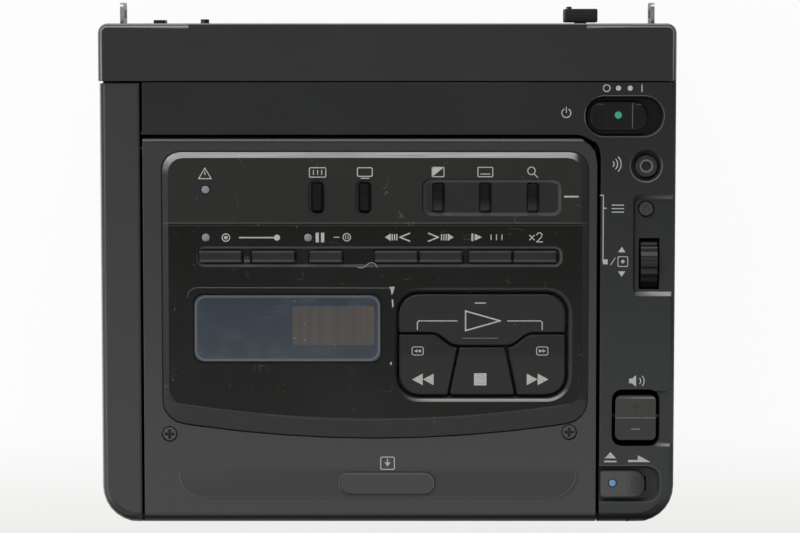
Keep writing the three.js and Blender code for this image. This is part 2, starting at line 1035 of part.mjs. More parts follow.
function batteryRelease() {
  const innerY = rear - cabinet.wall - fit;
  const outer = rect(
    releaseX - release.width / 2,
    releaseZ - release.height / 2,
    releaseX + release.width / 2,
    releaseZ + release.height / 2,
    release.edge,
    smallSteps,
  );
  const knob = alongY(outer, rear + fit, rear + release.reach, release.edge / 2);
  const lip = box(
    releaseX - release.width / 2 + release.edge,
    releaseX - release.width / 2 + release.edge + release.lip,
    rear + release.reach / 2,
    rear + release.reach + release.lip / 2,
    releaseZ - release.height / 2 + release.edge,
    releaseZ + release.height / 2 - release.edge,
  );
  const half = release.stem / 2;
  const stem = box(
    releaseX - half,
    releaseX + half,
    innerY - release.plate,
    rear + release.edge,
    releaseZ - half,
    releaseZ + half,
  );
  const tipZ = release.tipHeight / 2;
  const tongue = box(
    bayHalf - release.tip,
    releaseX + release.stem,
    innerY - release.plate,
    innerY,
    releaseZ - tipZ,
    releaseZ + tipZ,
  );
  return joined(knob, lip, stem, tongue);
}

function strapLug(x, side) {
  const inner = rear - cabinet.wall - fit - lug.thick;
  const outer = rear + lug.reach;
  const profile = rounded([
    [inner, lugBottom, 0],
    [outer, lugBottom, lug.corner],
    [outer, lugTop, lug.corner],
    [inner, lugTop, 0],
  ]).map((p) => [p.x, p.y]);
  const plate = alongX(profile, x - lug.thick / 2, x + lug.thick / 2);
  const toward = x - side * lug.foot;
  const back = box(
    Math.min(x, toward),
    Math.max(x, toward),
    inner,
    inner + lug.thick,
    lugBottom,
    lugTop,
  );
  const middle = (lugBottom + lugTop) / 2;
  const y = outer - lug.corner - lug.slot;
  const slot = box(
    x - overrun,
    x + overrun,
    y,
    y + lug.slot,
    middle - lug.slotHeight / 2,
    middle + lug.slotHeight / 2,
  );
  return joined(cut(plate, slot), back);
}

function dcInlet() {
  const flange = dcSocket.radius + dcSocket.sill;
  const behindWall = cabinet.wall + fit;
  const shell = turned([
    [0, dcSocket.length - dcSocket.sill],
    [dcSocket.bore, dcSocket.length - dcSocket.sill],
    [dcSocket.bore, 0],
    [dcSocket.radius, 0],
    [dcSocket.radius, behindWall],
    [flange, behindWall],
    [flange, behindWall + dcSocket.sill],
    [dcSocket.radius, behindWall + dcSocket.sill],
    [dcSocket.radius, dcSocket.length],
    [0, dcSocket.length],
  ], 'forward', [right - dcSocket.fromRight, rear, dcZ], smallSides);
  const pin = pinY(
    right - dcSocket.fromRight,
    dcZ,
    dcSocket.pin,
    rear - dcSocket.length + dcSocket.sill / 2,
    rear - dcSocket.sill,
  );
  return joined(shell, pin);
}

function controlFrame() {
  const w = frame.wall;
  const outline = rounded([
    [lidLeft, bandFront, 0],
    [columnLeft, bandFront, frame.innerCorner],
    [columnLeft, front, 0],
    [right, front, 0],
    [right, frameRear, 0],
    [lidLeft, frameRear, 0],
  ]);
  const inner = rounded([
    [lidLeft + w, bandFront + w, 0],
    [columnLeft + w, bandFront + w, frame.innerCorner - w],
    [columnLeft + w, front + w, 0],
    [right - w, front + w, body.frontCorner - w],
    [right - w, frameRear - w, 0],
    [lidLeft + w, frameRear - w, 0],
  ]);
  const low = housing.seamHeight + fit;
  const skin = cabinetSkin.intersect(block(outline, low, top, body.crispEdge));
  const hollow = prism(inner, low - overrun, underPlate);
  const bandLow = top - frame.bandDepth;
  const underBand = box(lidLeft - overrun, columnLeft - fit, front, rear, low - overrun, bandLow);
  const underRear = box(
    columnLeft - overrun,
    right - w,
    frameRear - w - fit,
    rear,
    low - overrun,
    bandLow,
  );
  const shell = cut(skin, hollow, underBand, underRear);
  const slit = box(
    right - frame.slitX - frame.slit,
    right - frame.slitX,
    front - overrun,
    front + frame.slitDepth,
    top - frame.bandDepth,
    top + overrun,
  );
  const rodHole = pinX(
    hingeY,
    hingeZ,
    hinge.rod + runningGap,
    columnLeft - hinge.inset - frame.innerCorner,
    columnLeft + w + hinge.rodReach,
  );
  return cut(joined(shell, ...dialCheeks(), ...volumeCheeks()), slit, rodHole, ...columnCuts());
}

// Everything that is cut into the band and the column from above.
function columnCuts() {
  const floorZ = top - power.depth;
  const powerPlan = rectAt(powerX, powerY, power.length, power.width, power.width / 2 - fit);
  const powerRim = rectAt(
    powerX,
    powerY,
    power.length + power.rim + power.rim,
    power.width + power.rim + power.rim,
    power.width / 2,
  );
  const stemHalf = power.stem / 2 + fit;
  const stemSide = slider.stemWidth / 2 + fit;
  const powerStem = box(
    powerKnobX - stemHalf,
    powerKnobX + stemHalf + power.travel,
    powerY - stemSide,
    powerY + stemSide,
    base,
    top,
  );
  const ejectZ = top - eject.depth;
  const ejectEnd = right - eject.endInset;
  const ejectPlan = rect(
    columnLeft - overrun,
    ejectY - eject.width / 2,
    ejectEnd,
    ejectY + eject.width / 2,
    [0, slider.corner, slider.corner, 0],
  );
  const ejectRim = rect(
    columnLeft - overrun,
    ejectY - eject.width / 2 - eject.rim,
    ejectEnd + eject.rim,
    ejectY + eject.width / 2 + eject.rim,
    [0, slider.corner + eject.rim, slider.corner + eject.rim, 0],
  );
  const ejectHalf = eject.stem / 2 + fit;
  const ejectStem = box(
    ejectStemX - ejectHalf,
    ejectStemX + ejectHalf + eject.travel,
    ejectY - stemSide,
    ejectY + stemSide,
    base,
    top,
  );
  const linkHole = linkButton.radius + linkButton.gap;
  const linkRim = turned([
    [0, 0],
    [linkHole, 0],
    [linkHole + linkButton.rim, linkButton.rimDepth],
    [0, linkButton.rimDepth],
  ], 'up', [linkX, linkY, top - linkButton.rimDepth]);
  const recessLeft = right - dialRecess.width;
  const recessZ = top - dialRecess.depth;
  const recessFloor = rect(
    recessLeft + dialRecess.sideSlope,
    rear - dialRecess.front + dialRecess.frontSlope,
    right + overrun,
    rear - dialRecess.rear - dialRecess.rearSlope,
    [dialRecess.corner, 0, 0, dialRecess.corner],
  );
  const recessRim = rect(
    recessLeft,
    rear - dialRecess.front,
    right + overrun,
    rear - dialRecess.rear,
    [dialRecess.corner, 0, 0, dialRecess.corner],
  );
  const volumeFloor = rect(
    right - volumeRecess.width,
    front + volumeRecess.front + volumeRecess.slope,
    right + overrun,
    front + volumeRecess.rear - volumeRecess.slope,
    [volumeRecess.corner, 0, 0, volumeRecess.corner],
  );
  const volumeRim = rect(
    right - volumeRecess.width - volumeRecess.slope,
    front + volumeRecess.front,
    right + overrun,
    front + volumeRecess.rear,
    [volumeRecess.corner, 0, 0, volumeRecess.corner],
  );
  return [
    flaredCut(powerPlan, floorZ, powerRim),
    powerStem,
    flaredCut(ejectPlan, ejectZ, ejectRim),
    ejectStem,
    linkRim,
    pinZ(linkX, linkY, linkHole, underPlate - overrun, top + overrun, roundSides),
    flaredCut(recessFloor, recessZ, recessRim),
    pinZ(
      menuX,
      menuY,
      menuButton.radius + menuButton.gap,
      underPlate - overrun,
      top + overrun,
      roundSides,
    ),
    prism(rectAt(dialX, dialY, dial.openWidth, dial.openLength, fit), underPlate - fit, top + overrun),
    prism(
      rectAt(volumeX, volumeY, volume.openWidth, volume.openLength, volume.openCorner),
      underPlate - overrun,
      top + overrun,
    ),
    flaredCut(volumeFloor, top - volumeRecess.depth, volumeRim),
  ];
}

// A recess whose walls lean outwards to its rim at the top face.
function flaredCut(floor, z, rim, surface = top) {
  return loft([[floor, z], [rim, surface], [rim, surface + overrun]]);
}

function dialCheeks() {
  const inner = dial.openWidth / 2;
  const outer = inner + dial.cheek;
  const half = dial.axle + dial.cheek;
  return [-1, 1].map((side) => {
    const [x0, x1] = side < 0 ? [dialX - outer, dialX - inner] : [dialX + inner, dialX + outer];
    const web = box(x0, x1, dialY - half, dialY + half, dialZ - half, underPlate + fit);
    return cut(web, pinX(dialY, dialZ, dial.axle + runningGap, x0 - overrun, x1 + overrun));
  });
}

function volumeCheeks() {
  const inner = volume.openWidth / 2;
  const outer = inner + volume.cheek;
  const half = volume.pin + volume.cheek;
  return [-1, 1].map((side) => {
    const [x0, x1] = side < 0 ? [volumeX - outer, volumeX - inner] : [volumeX + inner, volumeX + outer];
    const web = box(x0, x1, volumeY - half, volumeY + half, volumePivotZ - half, underPlate + fit);
    return cut(web, pinX(volumeY, volumePivotZ, volume.pin + runningGap, x0 - overrun, x1 + overrun));
  });
}

function sliderPiece(x0, x1, y, floorZ, spec, stemX, leftRound) {
  const half = spec.knobWidth / 2;
  const nearEnd = leftRound ? half - slider.edge : slider.edge + fit;
  const farEnd = leftRound ? half - slider.edge : slider.corner;
  const plan = rect(x0, y - half, x1, y + half, [nearEnd, farEnd, farEnd, nearEnd]);
  const knobTop = top + spec.proud;
  const parts = [block(plan, floorZ + fit, knobTop, slider.edge)];
  for (let k = 1; k <= ribsPerEnd; k += 1) {
    const inset = slider.edge + slider.ribStep * k;
    const reachY = half - slider.corner / 2;
    const ends = leftRound ? [x0 + inset, x1 - inset] : [x1 - inset];
    ends.forEach((x) => {
      parts.push(box(
        x - slider.ribWidth / 2,
        x + slider.ribWidth / 2,
        y - reachY,
        y + reachY,
        knobTop - slider.edge,
        knobTop + slider.ribRise,
      ));
    });
  }
  const stem = slider.stemWidth / 2;
  const footTop = underPlate - fit;
  parts.push(box(
    stemX - spec.stem / 2,
    stemX + spec.stem / 2,
    y - stem,
    y + stem,
    footTop - slider.footThick,
    floorZ + slider.edge + fit,
  ));
  const footHalf = spec.stem / 2 + slider.footSide;
  const footSide = stem + slider.footSide / 2;
  parts.push(box(
    stemX - footHalf,
    stemX + footHalf,
    y - footSide,
    y + footSide,
    footTop - slider.footThick,
    footTop,
  ));
  return joined(...parts);
}

function roundButton(x, y, spec) {
  const flangeTop = underPlate - fit;
  const flangeBottom = flangeTop - button.flangeThick;
  const capTop = top + spec.proud - (spec === menuButton ? dialRecess.depth : 0);
  const r = spec.radius;
  return turned([
    [0, flangeBottom],
    [r + button.flange, flangeBottom],
    [r + button.flange, flangeTop],
    [r, flangeTop],
    [r, capTop - button.edge],
    [r - button.edge * (1 - Math.SQRT1_2), capTop - button.edge * (1 - Math.SQRT1_2)],
    [r - button.edge, capTop],
    [spec.dimple, capTop],
    [spec.dimple - spec.dimpleDepth / 2, capTop - spec.dimpleDepth],
    [0, capTop - spec.dimpleDepth],
  ], 'up', [x, y, 0], buttonSides);
}

function selectDial() {
  const count = dialRibs * pointsPerRib;
  const profile = [];
  for (let i = 0; i < count; i += 1) {
    const angle = (i / count) * Math.PI * 2;
    const radius = i % pointsPerRib < pointsPerRib / 2 ? dial.radius : dial.radius - dial.rib;
    profile.push([dialY + radius * Math.cos(angle), dialZ + radius * Math.sin(angle)]);
  }
  const wheel = alongX(profile, dialX - dial.width / 2, dialX + dial.width / 2);
  const reach = dial.openWidth / 2 + dial.cheek;
  return joined(wheel, pinX(dialY, dialZ, dial.axle, dialX - reach, dialX + reach));
}

function volumeRocker() {
  const half = volume.length / 2;
  const crown = top + volume.proud;
  const profile = rounded([
    [volumeY - half, top - volume.below, 0],
    [volumeY + half, top - volume.below, 0],
    [volumeY + half, crown, volume.edge],
    [volumeY, crown - volume.crease, 0],
    [volumeY - half, crown, volume.edge],
  ], smallSteps).map((p) => [p.x, p.y]);
  const plan = rectAt(volumeX, volumeY, volume.width, volume.length, volume.corner);
  const bar = alongX(profile, volumeX - volume.width / 2, volumeX + volume.width / 2, volume.edge / 2);
  const cap = bar.intersect(prism(plan, base, crown + overrun));
  const reach = volume.openWidth / 2 + volume.cheek;
  return joined(cap, pinX(volumeY, volumePivotZ, volume.pin, volumeX - reach, volumeX + reach));
}

// The panel's outline: straight sides and rear, and a front edge that bows forward.
function panelOutline(side, rearInset, frontInset) {
  const x0 = panelLeft + side;
  const x1 = panelRight - side;
  const middle = (x0 + x1) / 2;
  const half = (x1 - x0) / 2;
  const yAt = (t) => panelFront + frontInset + panel.bow * t * t;
  const corners = [[x0, yAt(1), panel.frontCorner - side / 2]];
  bowShares.forEach((t) => corners.push([middle + half * t, yAt(t), 0]));
  corners.push([x1, yAt(1), panel.frontCorner - side / 2]);
  corners.push([x1, panelRear - rearInset, panel.rearCorner - side / 2]);
  corners.push([x0, panelRear - rearInset, panel.rearCorner - side / 2]);
  return rounded(corners);
}

function lidFrame() {
  const plan = rounded([
    [lidLeft, front, 0],
    [lidRight, front, 0],
    [lidRight, lidRear, lid.rearRightCorner],
    [lidLeft, lidRear, lid.rearLeftCorner],
  ]);
  const rearProfile = rounded([
    [front - overrun, lipBottom, 0],
    [lidRear, lipBottom, 0],
    [lidRear, top, lid.rearRound],
    [front - overrun, top, 0],
  ]).map((p) => [p.x, p.y]);
  const roundedRear = alongX(rearProfile, lidLeft - overrun, lidRight + overrun);
  const skin = doorSkin.intersect(block(plan, lipBottom, top, body.crispEdge)).intersect(roundedRear);
  const hollow = box(
    lidLeft + lid.skirt,
    lidRight - lid.skirt,
    front + lid.lipWall,
    lidRear + overrun,
    lipBottom - overrun,
    underPlate,
  );
  const skirtCut = box(
    lidLeft - overrun,
    lidRight + overrun,
    front + lid.lipWall,
    rear,
    lipBottom - overrun,
    top - lid.skirtDepth,
  );
  const barrel = pinX(
    hingeY,
    hingeZ,
    hinge.barrel,
    lidLeft,
    lidRight,
    roundSides,
  ).intersect(prism(plan, base, top));
  const pocket = prism(
    panelOutline(-panel.groove, -panel.groove, -panel.groove),
    panelBottom - fit,
    top + overrun,
  );
  const opening = box(
    panelLeft + lid.ledge,
    panelRight - lid.ledge,
    panelFront + lid.ledge + panel.bow / 2,
    panelRear - lid.ledge,
    lipBottom,
    top,
  );
  const bosses = holderTabs().map(([x, y]) => pinZ(x, y, lid.boss, holderTop + fit, underPlate + fit));
  const shell = joined(cut(skin, hollow, skirtCut), barrel, ...bosses, thumbPad(), pushPill());
  const screwHoles = lidScrewPlaces().flatMap(([x, y]) => [
    pinZ(x, y, screw.shank + runningGap, lipBottom, top),
    pinZ(x, y, screw.counterbore, top - screw.headHeight, top + overrun),
  ]);
  const bore = pinX(hingeY, hingeZ, hinge.rod + runningGap, lidLeft - overrun, lidRight + overrun);
  return cut(shell, pocket, opening, bore, ...screwHoles);
}

// The thumb pad rises gently towards its front edge.
function thumbPad() {
  const y0 = front + pad.front;
  const y1 = y0 + pad.length;
  const plan = rect(lidLeft + pad.side, y0, lidRight - pad.rightSide, y1 + pad.corner, pad.corner);
  const wedge = alongX(
    [[y0 - fit, underPlate + fit], [y1, underPlate + fit], [y1, top - fit], [y0, top + pad.rise]],
    lidLeft,
    lidRight,
  );
  return block(plan, underPlate + fit, top + pad.rise + fit, pad.edge).intersect(wedge);
}

function pushPill() {
  const y = front + pill.front + pill.length / 2;
  return block(
    rectAt(0, y, pill.width, pill.length, pill.length / 2 - fit),
    underPlate + fit,
    top + pill.rise,
    pill.edge,
  );
}

function lidPanel() {
  const outer = panelOutline(0, 0, 0);
  const slab = loft([
    [outer, panelBottom],
    [outer, top],
    [panelOutline(panel.side, panel.rearSlope, panel.frontSlope), panelTop],
  ]);
  const cuts = [];
  const dishZ = panelTop - key.well;
  const down = panelBottom - overrun;
  const up = panelTop + overrun;
  Object.entries(topKeyShares).forEach(([name, share]) => {
    const x = panelX(share);
    const y = panelY(topKeyRowShare);
    cuts.push(prism(
      rectAt(x, y, topKey.width + holeExtra, topKey.length + holeExtra, topKey.corner, smallSteps),
      down,
      up,
    ));
    if (name === 'data_key' || name === 'display_key') {
      const floor = rectAt(
        x,
        y,
        topKey.dishWidth - key.edge,
        topKey.dishLength - key.edge,
        topKey.dishCorner - key.edge,
      );
      cuts.push(flaredCut(
        floor,
        dishZ,
        rectAt(x, y, topKey.dishWidth, topKey.dishLength, topKey.dishCorner),
        panelTop,
      ));
    }
  });
  cuts.push(trackCut(sharedDishShares, topKeyRowShare, topKey.dishLength, topKey.dishCorner, dishZ));
  cuts.push(trackCut(rowTrackShares, keyRowShare, rowKey.trackWidth, rowKey.trackCorner, dishZ));
  keyRowShares.forEach(({ names, share, size }) => {
    const length = names.length * rowKey[size] + (names.length - 1) * key.split + holeExtra;
    cuts.push(prism(
      rectAt(
        panelX(share),
        panelY(keyRowShare),
        length,
        rowKey.width + holeExtra,
        rowKey.corner,
        smallSteps,
      ),
      down,
      up,
    ));
  });
  Object.values(lensShares).forEach(([sx, sy]) => cuts.push(pinZ(
    panelX(sx),
    panelY(sy),
    lens.radius + runningGap,
    down,
    up,
  )));
  const [wx, wy] = [panelX(displayShare[0]), panelY(displayShare[1])];
  const windowFloor = panelTop + display.proud - display.thick - fit;
  cuts.push(prism(
    rectAt(wx, wy, display.width + holeExtra, display.length + holeExtra, display.corner),
    windowFloor,
    up,
  ));
  const [sx, sy] = [panelX(screenShare[0]), panelY(screenShare[1])];
  cuts.push(prism(
    rectAt(sx, sy, display.screenWidth + holeExtra, display.screenLength + holeExtra, fit),
    down,
    up,
  ));
  const bed = clusterBed(0);
  const rim = clusterBed(-cluster.rim);
  cuts.push(prism(bed, down, up));
  cuts.push(flaredCut(bed, panelTop - cluster.well, rim, panelTop));
  return cut(slab, ...cuts);
}

function trackCut(shares, rowShare, width, corner, z) {
  const x0 = panelX(shares.left);
  const x1 = panelX(shares.right);
  const y = panelY(rowShare);
  const half = width / 2;
  const inner = half - key.edge / 2;
  const floor = rect(x0 + key.edge / 2, y - inner, x1 - key.edge / 2, y + inner, corner - key.edge / 2);
  return flaredCut(floor, z, rect(x0, y - half, x1, y + half, corner), panelTop);
}

function pushKey(plan, flangePlan, proud) {
  const flangeTop = panelBottom - fit;
  const keyBottom = flangeTop - key.flangeThick;
  const cap = block(plan, keyBottom, panelTop + proud, key.edge, false, keyEdgeSteps);
  return joined(cap, prism(flangePlan, keyBottom, flangeTop));
}

function addTopKeys() {
  Object.entries(topKeyShares).forEach(([name, share]) => {
    const x = panelX(share);
    const y = panelY(topKeyRowShare);
    const grow = key.flange + key.flange;
    const plan = rectAt(x, y, topKey.width, topKey.length, topKey.corner, smallSteps);
    const flange = rectAt(x, y, topKey.width + grow, topKey.length + grow, topKey.corner, smallSteps);
    addPiece(name, pushKey(plan, flange, key.proud), materials.key);
  });
}

function addRowKeys() {
  keyRowShares.forEach(({ names, share, size }) => {
    const length = rowKey[size];
    const step = length + key.split;
    const y = panelY(keyRowShare);
    names.forEach((name, i) => {
      const x = panelX(share) + step * (i - (names.length - 1) / 2);
      const tight = key.edge + key.split / 2;
      const nearRadius = i > 0 ? tight : rowKey.corner;
      const farRadius = i < names.length - 1 ? tight : rowKey.corner;
      const half = rowKey.width / 2;
      const plan = rect(
        x - length / 2,
        y - half,
        x + length / 2,
        y + half,
        [nearRadius, farRadius, farRadius, nearRadius],
        smallSteps,
      );
      const reach = half + key.flange;
      const flange = rect(x - length / 2, y - reach, x + length / 2, y + reach, tight, smallSteps);
      addPiece(name, pushKey(plan, flange, key.proud), materials.key);
    });
  });
}

function clusterBed(inset) {
  const x = panelX(clusterShare[0]);
  const y = panelY(clusterShare[1]);
  return rectAt(
    x,
    y,
    cluster.width - inset - inset,
    cluster.length - inset - inset,
    cluster.corner - inset,
  );
}

// The line between the play key and the three below it, which bulges forward in the middle.
function bulgeDrop(dx) {
  const past = Math.abs(dx) - cluster.bulgeTop / 2;
  const t = THREE.MathUtils.clamp(past / cluster.bulgeRun, 0, 1);
  return (cluster.bulge * (1 + Math.cos(Math.PI * t))) / 2;
}

function bulgePoints(xMiddle, y, from, to, count) {
  const points = [];
  for (let k = 0; k <= count; k += 1) {
    const dx = from + ((to - from) * k) / count;
    points.push([xMiddle + dx, y - bulgeDrop(dx), 0]);
  }
  return points;
}

function addClusterKeys() {
  const x = panelX(clusterShare[0]);
  const y = panelY(clusterShare[1]);
  const halfWidth = cluster.width / 2 - runningGap;
  const rearY = y + cluster.length / 2 - runningGap;
  const frontY = y - cluster.length / 2 + runningGap;
  const corner = cluster.corner - runningGap;
  const small = cluster.keyCorner;
  const gap = cluster.keyGap / 2;
  const lineY = y + cluster.length / 2 - cluster.shoulder;
  const reach = cluster.bulgeTop / 2 + cluster.bulgeRun;
  const stopTop = cluster.stopTop / 2;
  const stopBottom = cluster.stopBottom / 2;
  const plateauY = lineY - cluster.bulge - gap;
  const play = [
    [x - halfWidth, lineY + gap, small],
    ...bulgePoints(x, lineY + gap, -reach, reach, bulgeSteps),
    [x + halfWidth, lineY + gap, small],
    [x + halfWidth, rearY, corner],
    [x - halfWidth, rearY, corner],
  ];
  const stop = [
    [x - stopBottom, frontY, small],
    [x + stopBottom, frontY, small],
    [x + stopTop, plateauY, small],
    [x - stopTop, plateauY, small],
  ];
  const start = stopTop + cluster.keyGap;
  const side = [
    [stopBottom + cluster.keyGap, frontY, small],
    [halfWidth, frontY, corner],
    [halfWidth, lineY - gap, small],
    ...bulgePoints(0, lineY - gap, reach, start, bulgeSteps / 2),
  ];
  const forward = side.map(([dx, py, r]) => [x + dx, py, r]);
  const rewind = side.map(([dx, py, r]) => [x - dx, py, r]).reverse();
  const f = cluster.flange;
  const run = cluster.flangeRun;
  const keys = [
    ['play_key', play, [x - halfWidth - f, x + halfWidth + f, rearY - run, rearY + f]],
    ['stop_key', stop, [x - stopTop, x + stopTop, frontY - f, frontY + run]],
    ['rewind_key', rewind, [x - halfWidth - f, x - halfWidth + run, frontY - f, frontY + run]],
    ['forward_key', forward, [x + halfWidth - run, x + halfWidth + f, frontY - f, frontY + run]],
  ];
  keys.forEach(([name, corners, [x0, x1, y0, y1]]) => {
    const flange = rect(x0, y0, x1, y1, fit, smallSteps);
    addPiece(name, pushKey(rounded(corners), flange, cluster.proud), materials.clusterKey);
  });
}

function addLensPieces() {
  Object.entries(lensShares).forEach(([name, [sx, sy]]) => {
    const flangeTop = panelBottom - fit;
    const dome = turned([
      [0, flangeTop - lens.flangeThick],
      [lens.flange, flangeTop - lens.flangeThick],
      [lens.flange, flangeTop],
      [lens.radius, flangeTop],
      [lens.radius, panelTop],
      [lens.radius * Math.cos(Math.PI / 6), panelTop + lens.proud * Math.sin(Math.PI / 6)],
      [lens.radius * Math.cos(Math.PI / 3), panelTop + lens.proud * Math.sin(Math.PI / 3)],
      [0, panelTop + lens.proud],
    ], 'up', [panelX(sx), panelY(sy), 0], pinSides);
    addPiece(name, dome, materials.lens);
  });
}

function lidScrew([x, y]) {
  const headBottom = top - screw.headHeight + fit;
  const solid = turned([
    [0, top - screw.length],
    [screw.shank / 2, top - screw.length],
    [screw.shank, top - screw.length + screw.shank],
    [screw.shank, headBottom],
    [screw.head, headBottom],
    [screw.head, top - fit],
    [screw.head - fit, top],
    [0, top],
  ], 'up', [x, y, 0], smallSides);
  const reach = screw.head - screw.slot;
  const half = screw.slot / 2;
  const z = top - screw.slotDepth;
  return cut(
    solid,
    box(x - reach, x + reach, y - half, y + half, z, top + overrun),
    box(x - half, x + half, y - reach, y + reach, z, top + overrun),
  );
}

function cassetteHolder() {
  const w = holder.wall;
  const x0 = deckX - slotHalf - w;
  const x1 = deckX + slotHalf + w;
  const outer = box(x0, x1, slotFront, slotRear + w, slotBottom - w, holderTop);
  const inside = box(x0 + w, x1 - w, slotFront - overrun, slotRear, slotBottom, slotTop);
  const bottom = box(
    x0 + holder.rail,
    x1 - holder.rail,
    slotFront - overrun,
    slotRear + overrun,
    slotBottom - overrun,
    slotBottom + fit,
  );
  const mouth = box(
    x0 + holder.stop,
    x1 - holder.stop,
    slotRear - fit,
    slotRear + overrun,
    slotBottom - overrun,
    slotTop,
  );
  const light = rect(
    x0 + holder.stop,
    slotFront + holder.stop,
    x1 - holder.stop,
    slotRear - holder.stop,
    w,
  );
  const half = holder.tabLength / 2;
  const tabs = holderTabs().map(([x, y]) => {
    const [near, far] = x < deckX ? [x - lid.boss, x0 + w] : [x1 - w, x + lid.boss];
    return prism(rect(near, y - half, far, y + half, w), holderTop - w, holderTop);
  });
  const windows = prism(light, slotTop - fit, holderTop + overrun);
  const brace = box(deckX - holder.stop, deckX + holder.stop, slotFront, slotRear, slotTop, holderTop);
  return joined(cut(outer, inside, bottom, mouth, windows), brace, ...tabs);
}

function deckChassis() {
  const plate = prism(chassisPlan(), deckTop - chassis.thick, deckTop);
  const postBores = chassisPosts().map(([x, y]) => pinZ(
    x,
    y,
    housing.pilot,
    deckTop - overrun,
    deckTop + overrun,
  ));
  const spindles = reelPlaces().map(([x, y]) => pinZ(
    x,
    y,
    reel.spindle,
    deckTop - chassis.thick,
    deckTop + reel.top - reel.tableThick,
  ));
  const collar = pinZ(
    capstanX,
    capstanY,
    capstan.collar,
    deckTop - chassis.thick,
    deckTop + capstan.collarHeight,
    roundSides,
  );
  const capstanBore = pinZ(
    capstanX,
    capstanY,
    capstan.radius + runningGap,
    deckTop - overrun,
    deckTop + overrun,
  );
  const armEnd = pinch.lift - fit;
  const arm = prism(
    rect(
      capstanX - pinch.arm / 2,
      pinchY - pinch.arm / 2,
      capstanX + pinch.armReach,
      pinchY + pinch.arm / 2,
      pinch.arm / 2 - fit,
    ),
    deckTop - fit,
    deckTop + armEnd,
  );
  const pinchPin = pinZ(
    capstanX,
    pinchY,
    pinch.pin,
    deckTop - fit,
    deckTop + pinch.lift + pinch.width + pinch.pin,
  );
  const guides = guideShares.flatMap(([across, along]) => [-1, 1].map((side) => {
    const x = deckX + side * drum.radius * across;
    const y = drumY - drum.radius * along;
    const cap = capstan.radius + capstan.radius;
    return turned([
      [0, deckTop - fit],
      [cap, deckTop - fit],
      [cap, deckTop + capstan.collarHeight],
      [capstan.radius, deckTop + capstan.collarHeight],
      [capstan.radius, deckTop + capstan.height - capstan.collarHeight],
      [cap, deckTop + capstan.height - capstan.collarHeight],
      [cap, deckTop + capstan.height],
      [0, deckTop + capstan.height],
    ], 'up', [x, y, 0], pinSides);
  }));
  return joined(
    cut(joined(plate, collar), capstanBore, ...postBores),
    ...spindles,
    arm,
    pinchPin,
    ...guides,
  );
}

function reelTable(x, y) {
  const bottom = deckTop + fit;
  const table = turned([
    [reel.spindle + runningGap, bottom],
    [reel.table, bottom],
    [reel.table, bottom + reel.tableThick],
    [reel.hub, bottom + reel.tableThick],
    [reel.hub, deckTop + reel.top - reel.spindle],
    [reel.hub - reel.spindle, deckTop + reel.top],
    [0, deckTop + reel.top],
    [0, deckTop + reel.top - reel.spindle],
    [reel.spindle + runningGap, deckTop + reel.top - reel.spindle],
    [reel.spindle + runningGap, bottom],
  ], 'up', [x, y, 0], smallSides);
  const fins = [];
  for (let k = 0; k < reelFins; k += 1) {
    const geometry = new THREE.BoxGeometry(
      reel.fin + reel.spindle,
      reel.finWidth,
      reel.top - reel.tableThick - reel.spindle - fit,
    );
    geometry.translate(reel.hub + reel.fin / 2 - reel.spindle / 2, 0, 0);
    geometry.rotateZ((k / reelFins) * Math.PI * 2);
    geometry.translate(x, y, deckTop + (reel.tableThick + reel.top - reel.spindle + fit) / 2);
    fins.push(solidOf(geometry));
  }
  return joined(table, ...fins);
}

function capstanFlywheel() {
  const wheelTop = deckTop - chassis.thick - fit;
  return turned([
    [0, wheelTop - capstan.flywheelThick],
    [capstan.flywheel, wheelTop - capstan.flywheelThick],
    [capstan.flywheel, wheelTop],
    [capstan.collar, wheelTop],
    [capstan.radius, wheelTop],
    [capstan.radius, deckTop + capstan.height],
    [0, deckTop + capstan.height],
  ], 'up', [capstanX, capstanY, 0], smallSides);
}

function pinchRoller() {
  const z0 = deckTop + pinch.lift;
  const z1 = z0 + pinch.width;
  const bore = pinch.pin + runningGap;
  return turned([
    [bore, z0],
    [pinch.radius, z0],
    [pinch.radius, z1],
    [bore, z1],
    [bore, z0],
  ], 'up', [capstanX, pinchY, 0], smallSides);
}

// The drum leans back with its tape path, so both halves hang in one turned group.
function addDrum() {
  const lean = new THREE.Group();
  lean.position.set(deckX, drumY, deckTop + fit + drum.radius * Math.sin(drumTilt));
  lean.rotation.x = -drumTilt;
  const axleTop = drum.lowerHeight + drum.slit + drum.upperHeight;
  const lower = turned([
    [0, 0],
    [drum.radius, 0],
    [drum.radius, drum.lowerHeight / 2],
    [drum.radius - drum.groove, drum.lowerHeight / 2 + drum.groove],
    [drum.radius, drum.lowerHeight / 2 + drum.groove + drum.groove],
    [drum.radius, drum.lowerHeight],
    [drum.axle, drum.lowerHeight],
    [drum.axle, axleTop],
    [0, axleTop],
  ], 'up', [0, 0, 0]);
  const bore = drum.axle + runningGap;
  const z0 = drum.lowerHeight + drum.slit;
  const upper = turned([
    [bore, z0],
    [drum.radius, z0],
    [drum.radius, axleTop - drum.groove],
    [drum.radius - drum.groove, axleTop],
    [drum.hub + drum.groove, axleTop],
    [drum.hub, axleTop - drum.groove],
    [bore, axleTop - drum.groove],
    [bore, z0],
  ], 'up', [0, 0, 0]);
  addPiece('lower_drum', lower, materials.drum, lean);
  addPiece('upper_drum', upper, materials.drum, lean);
  group.add(lean);
}

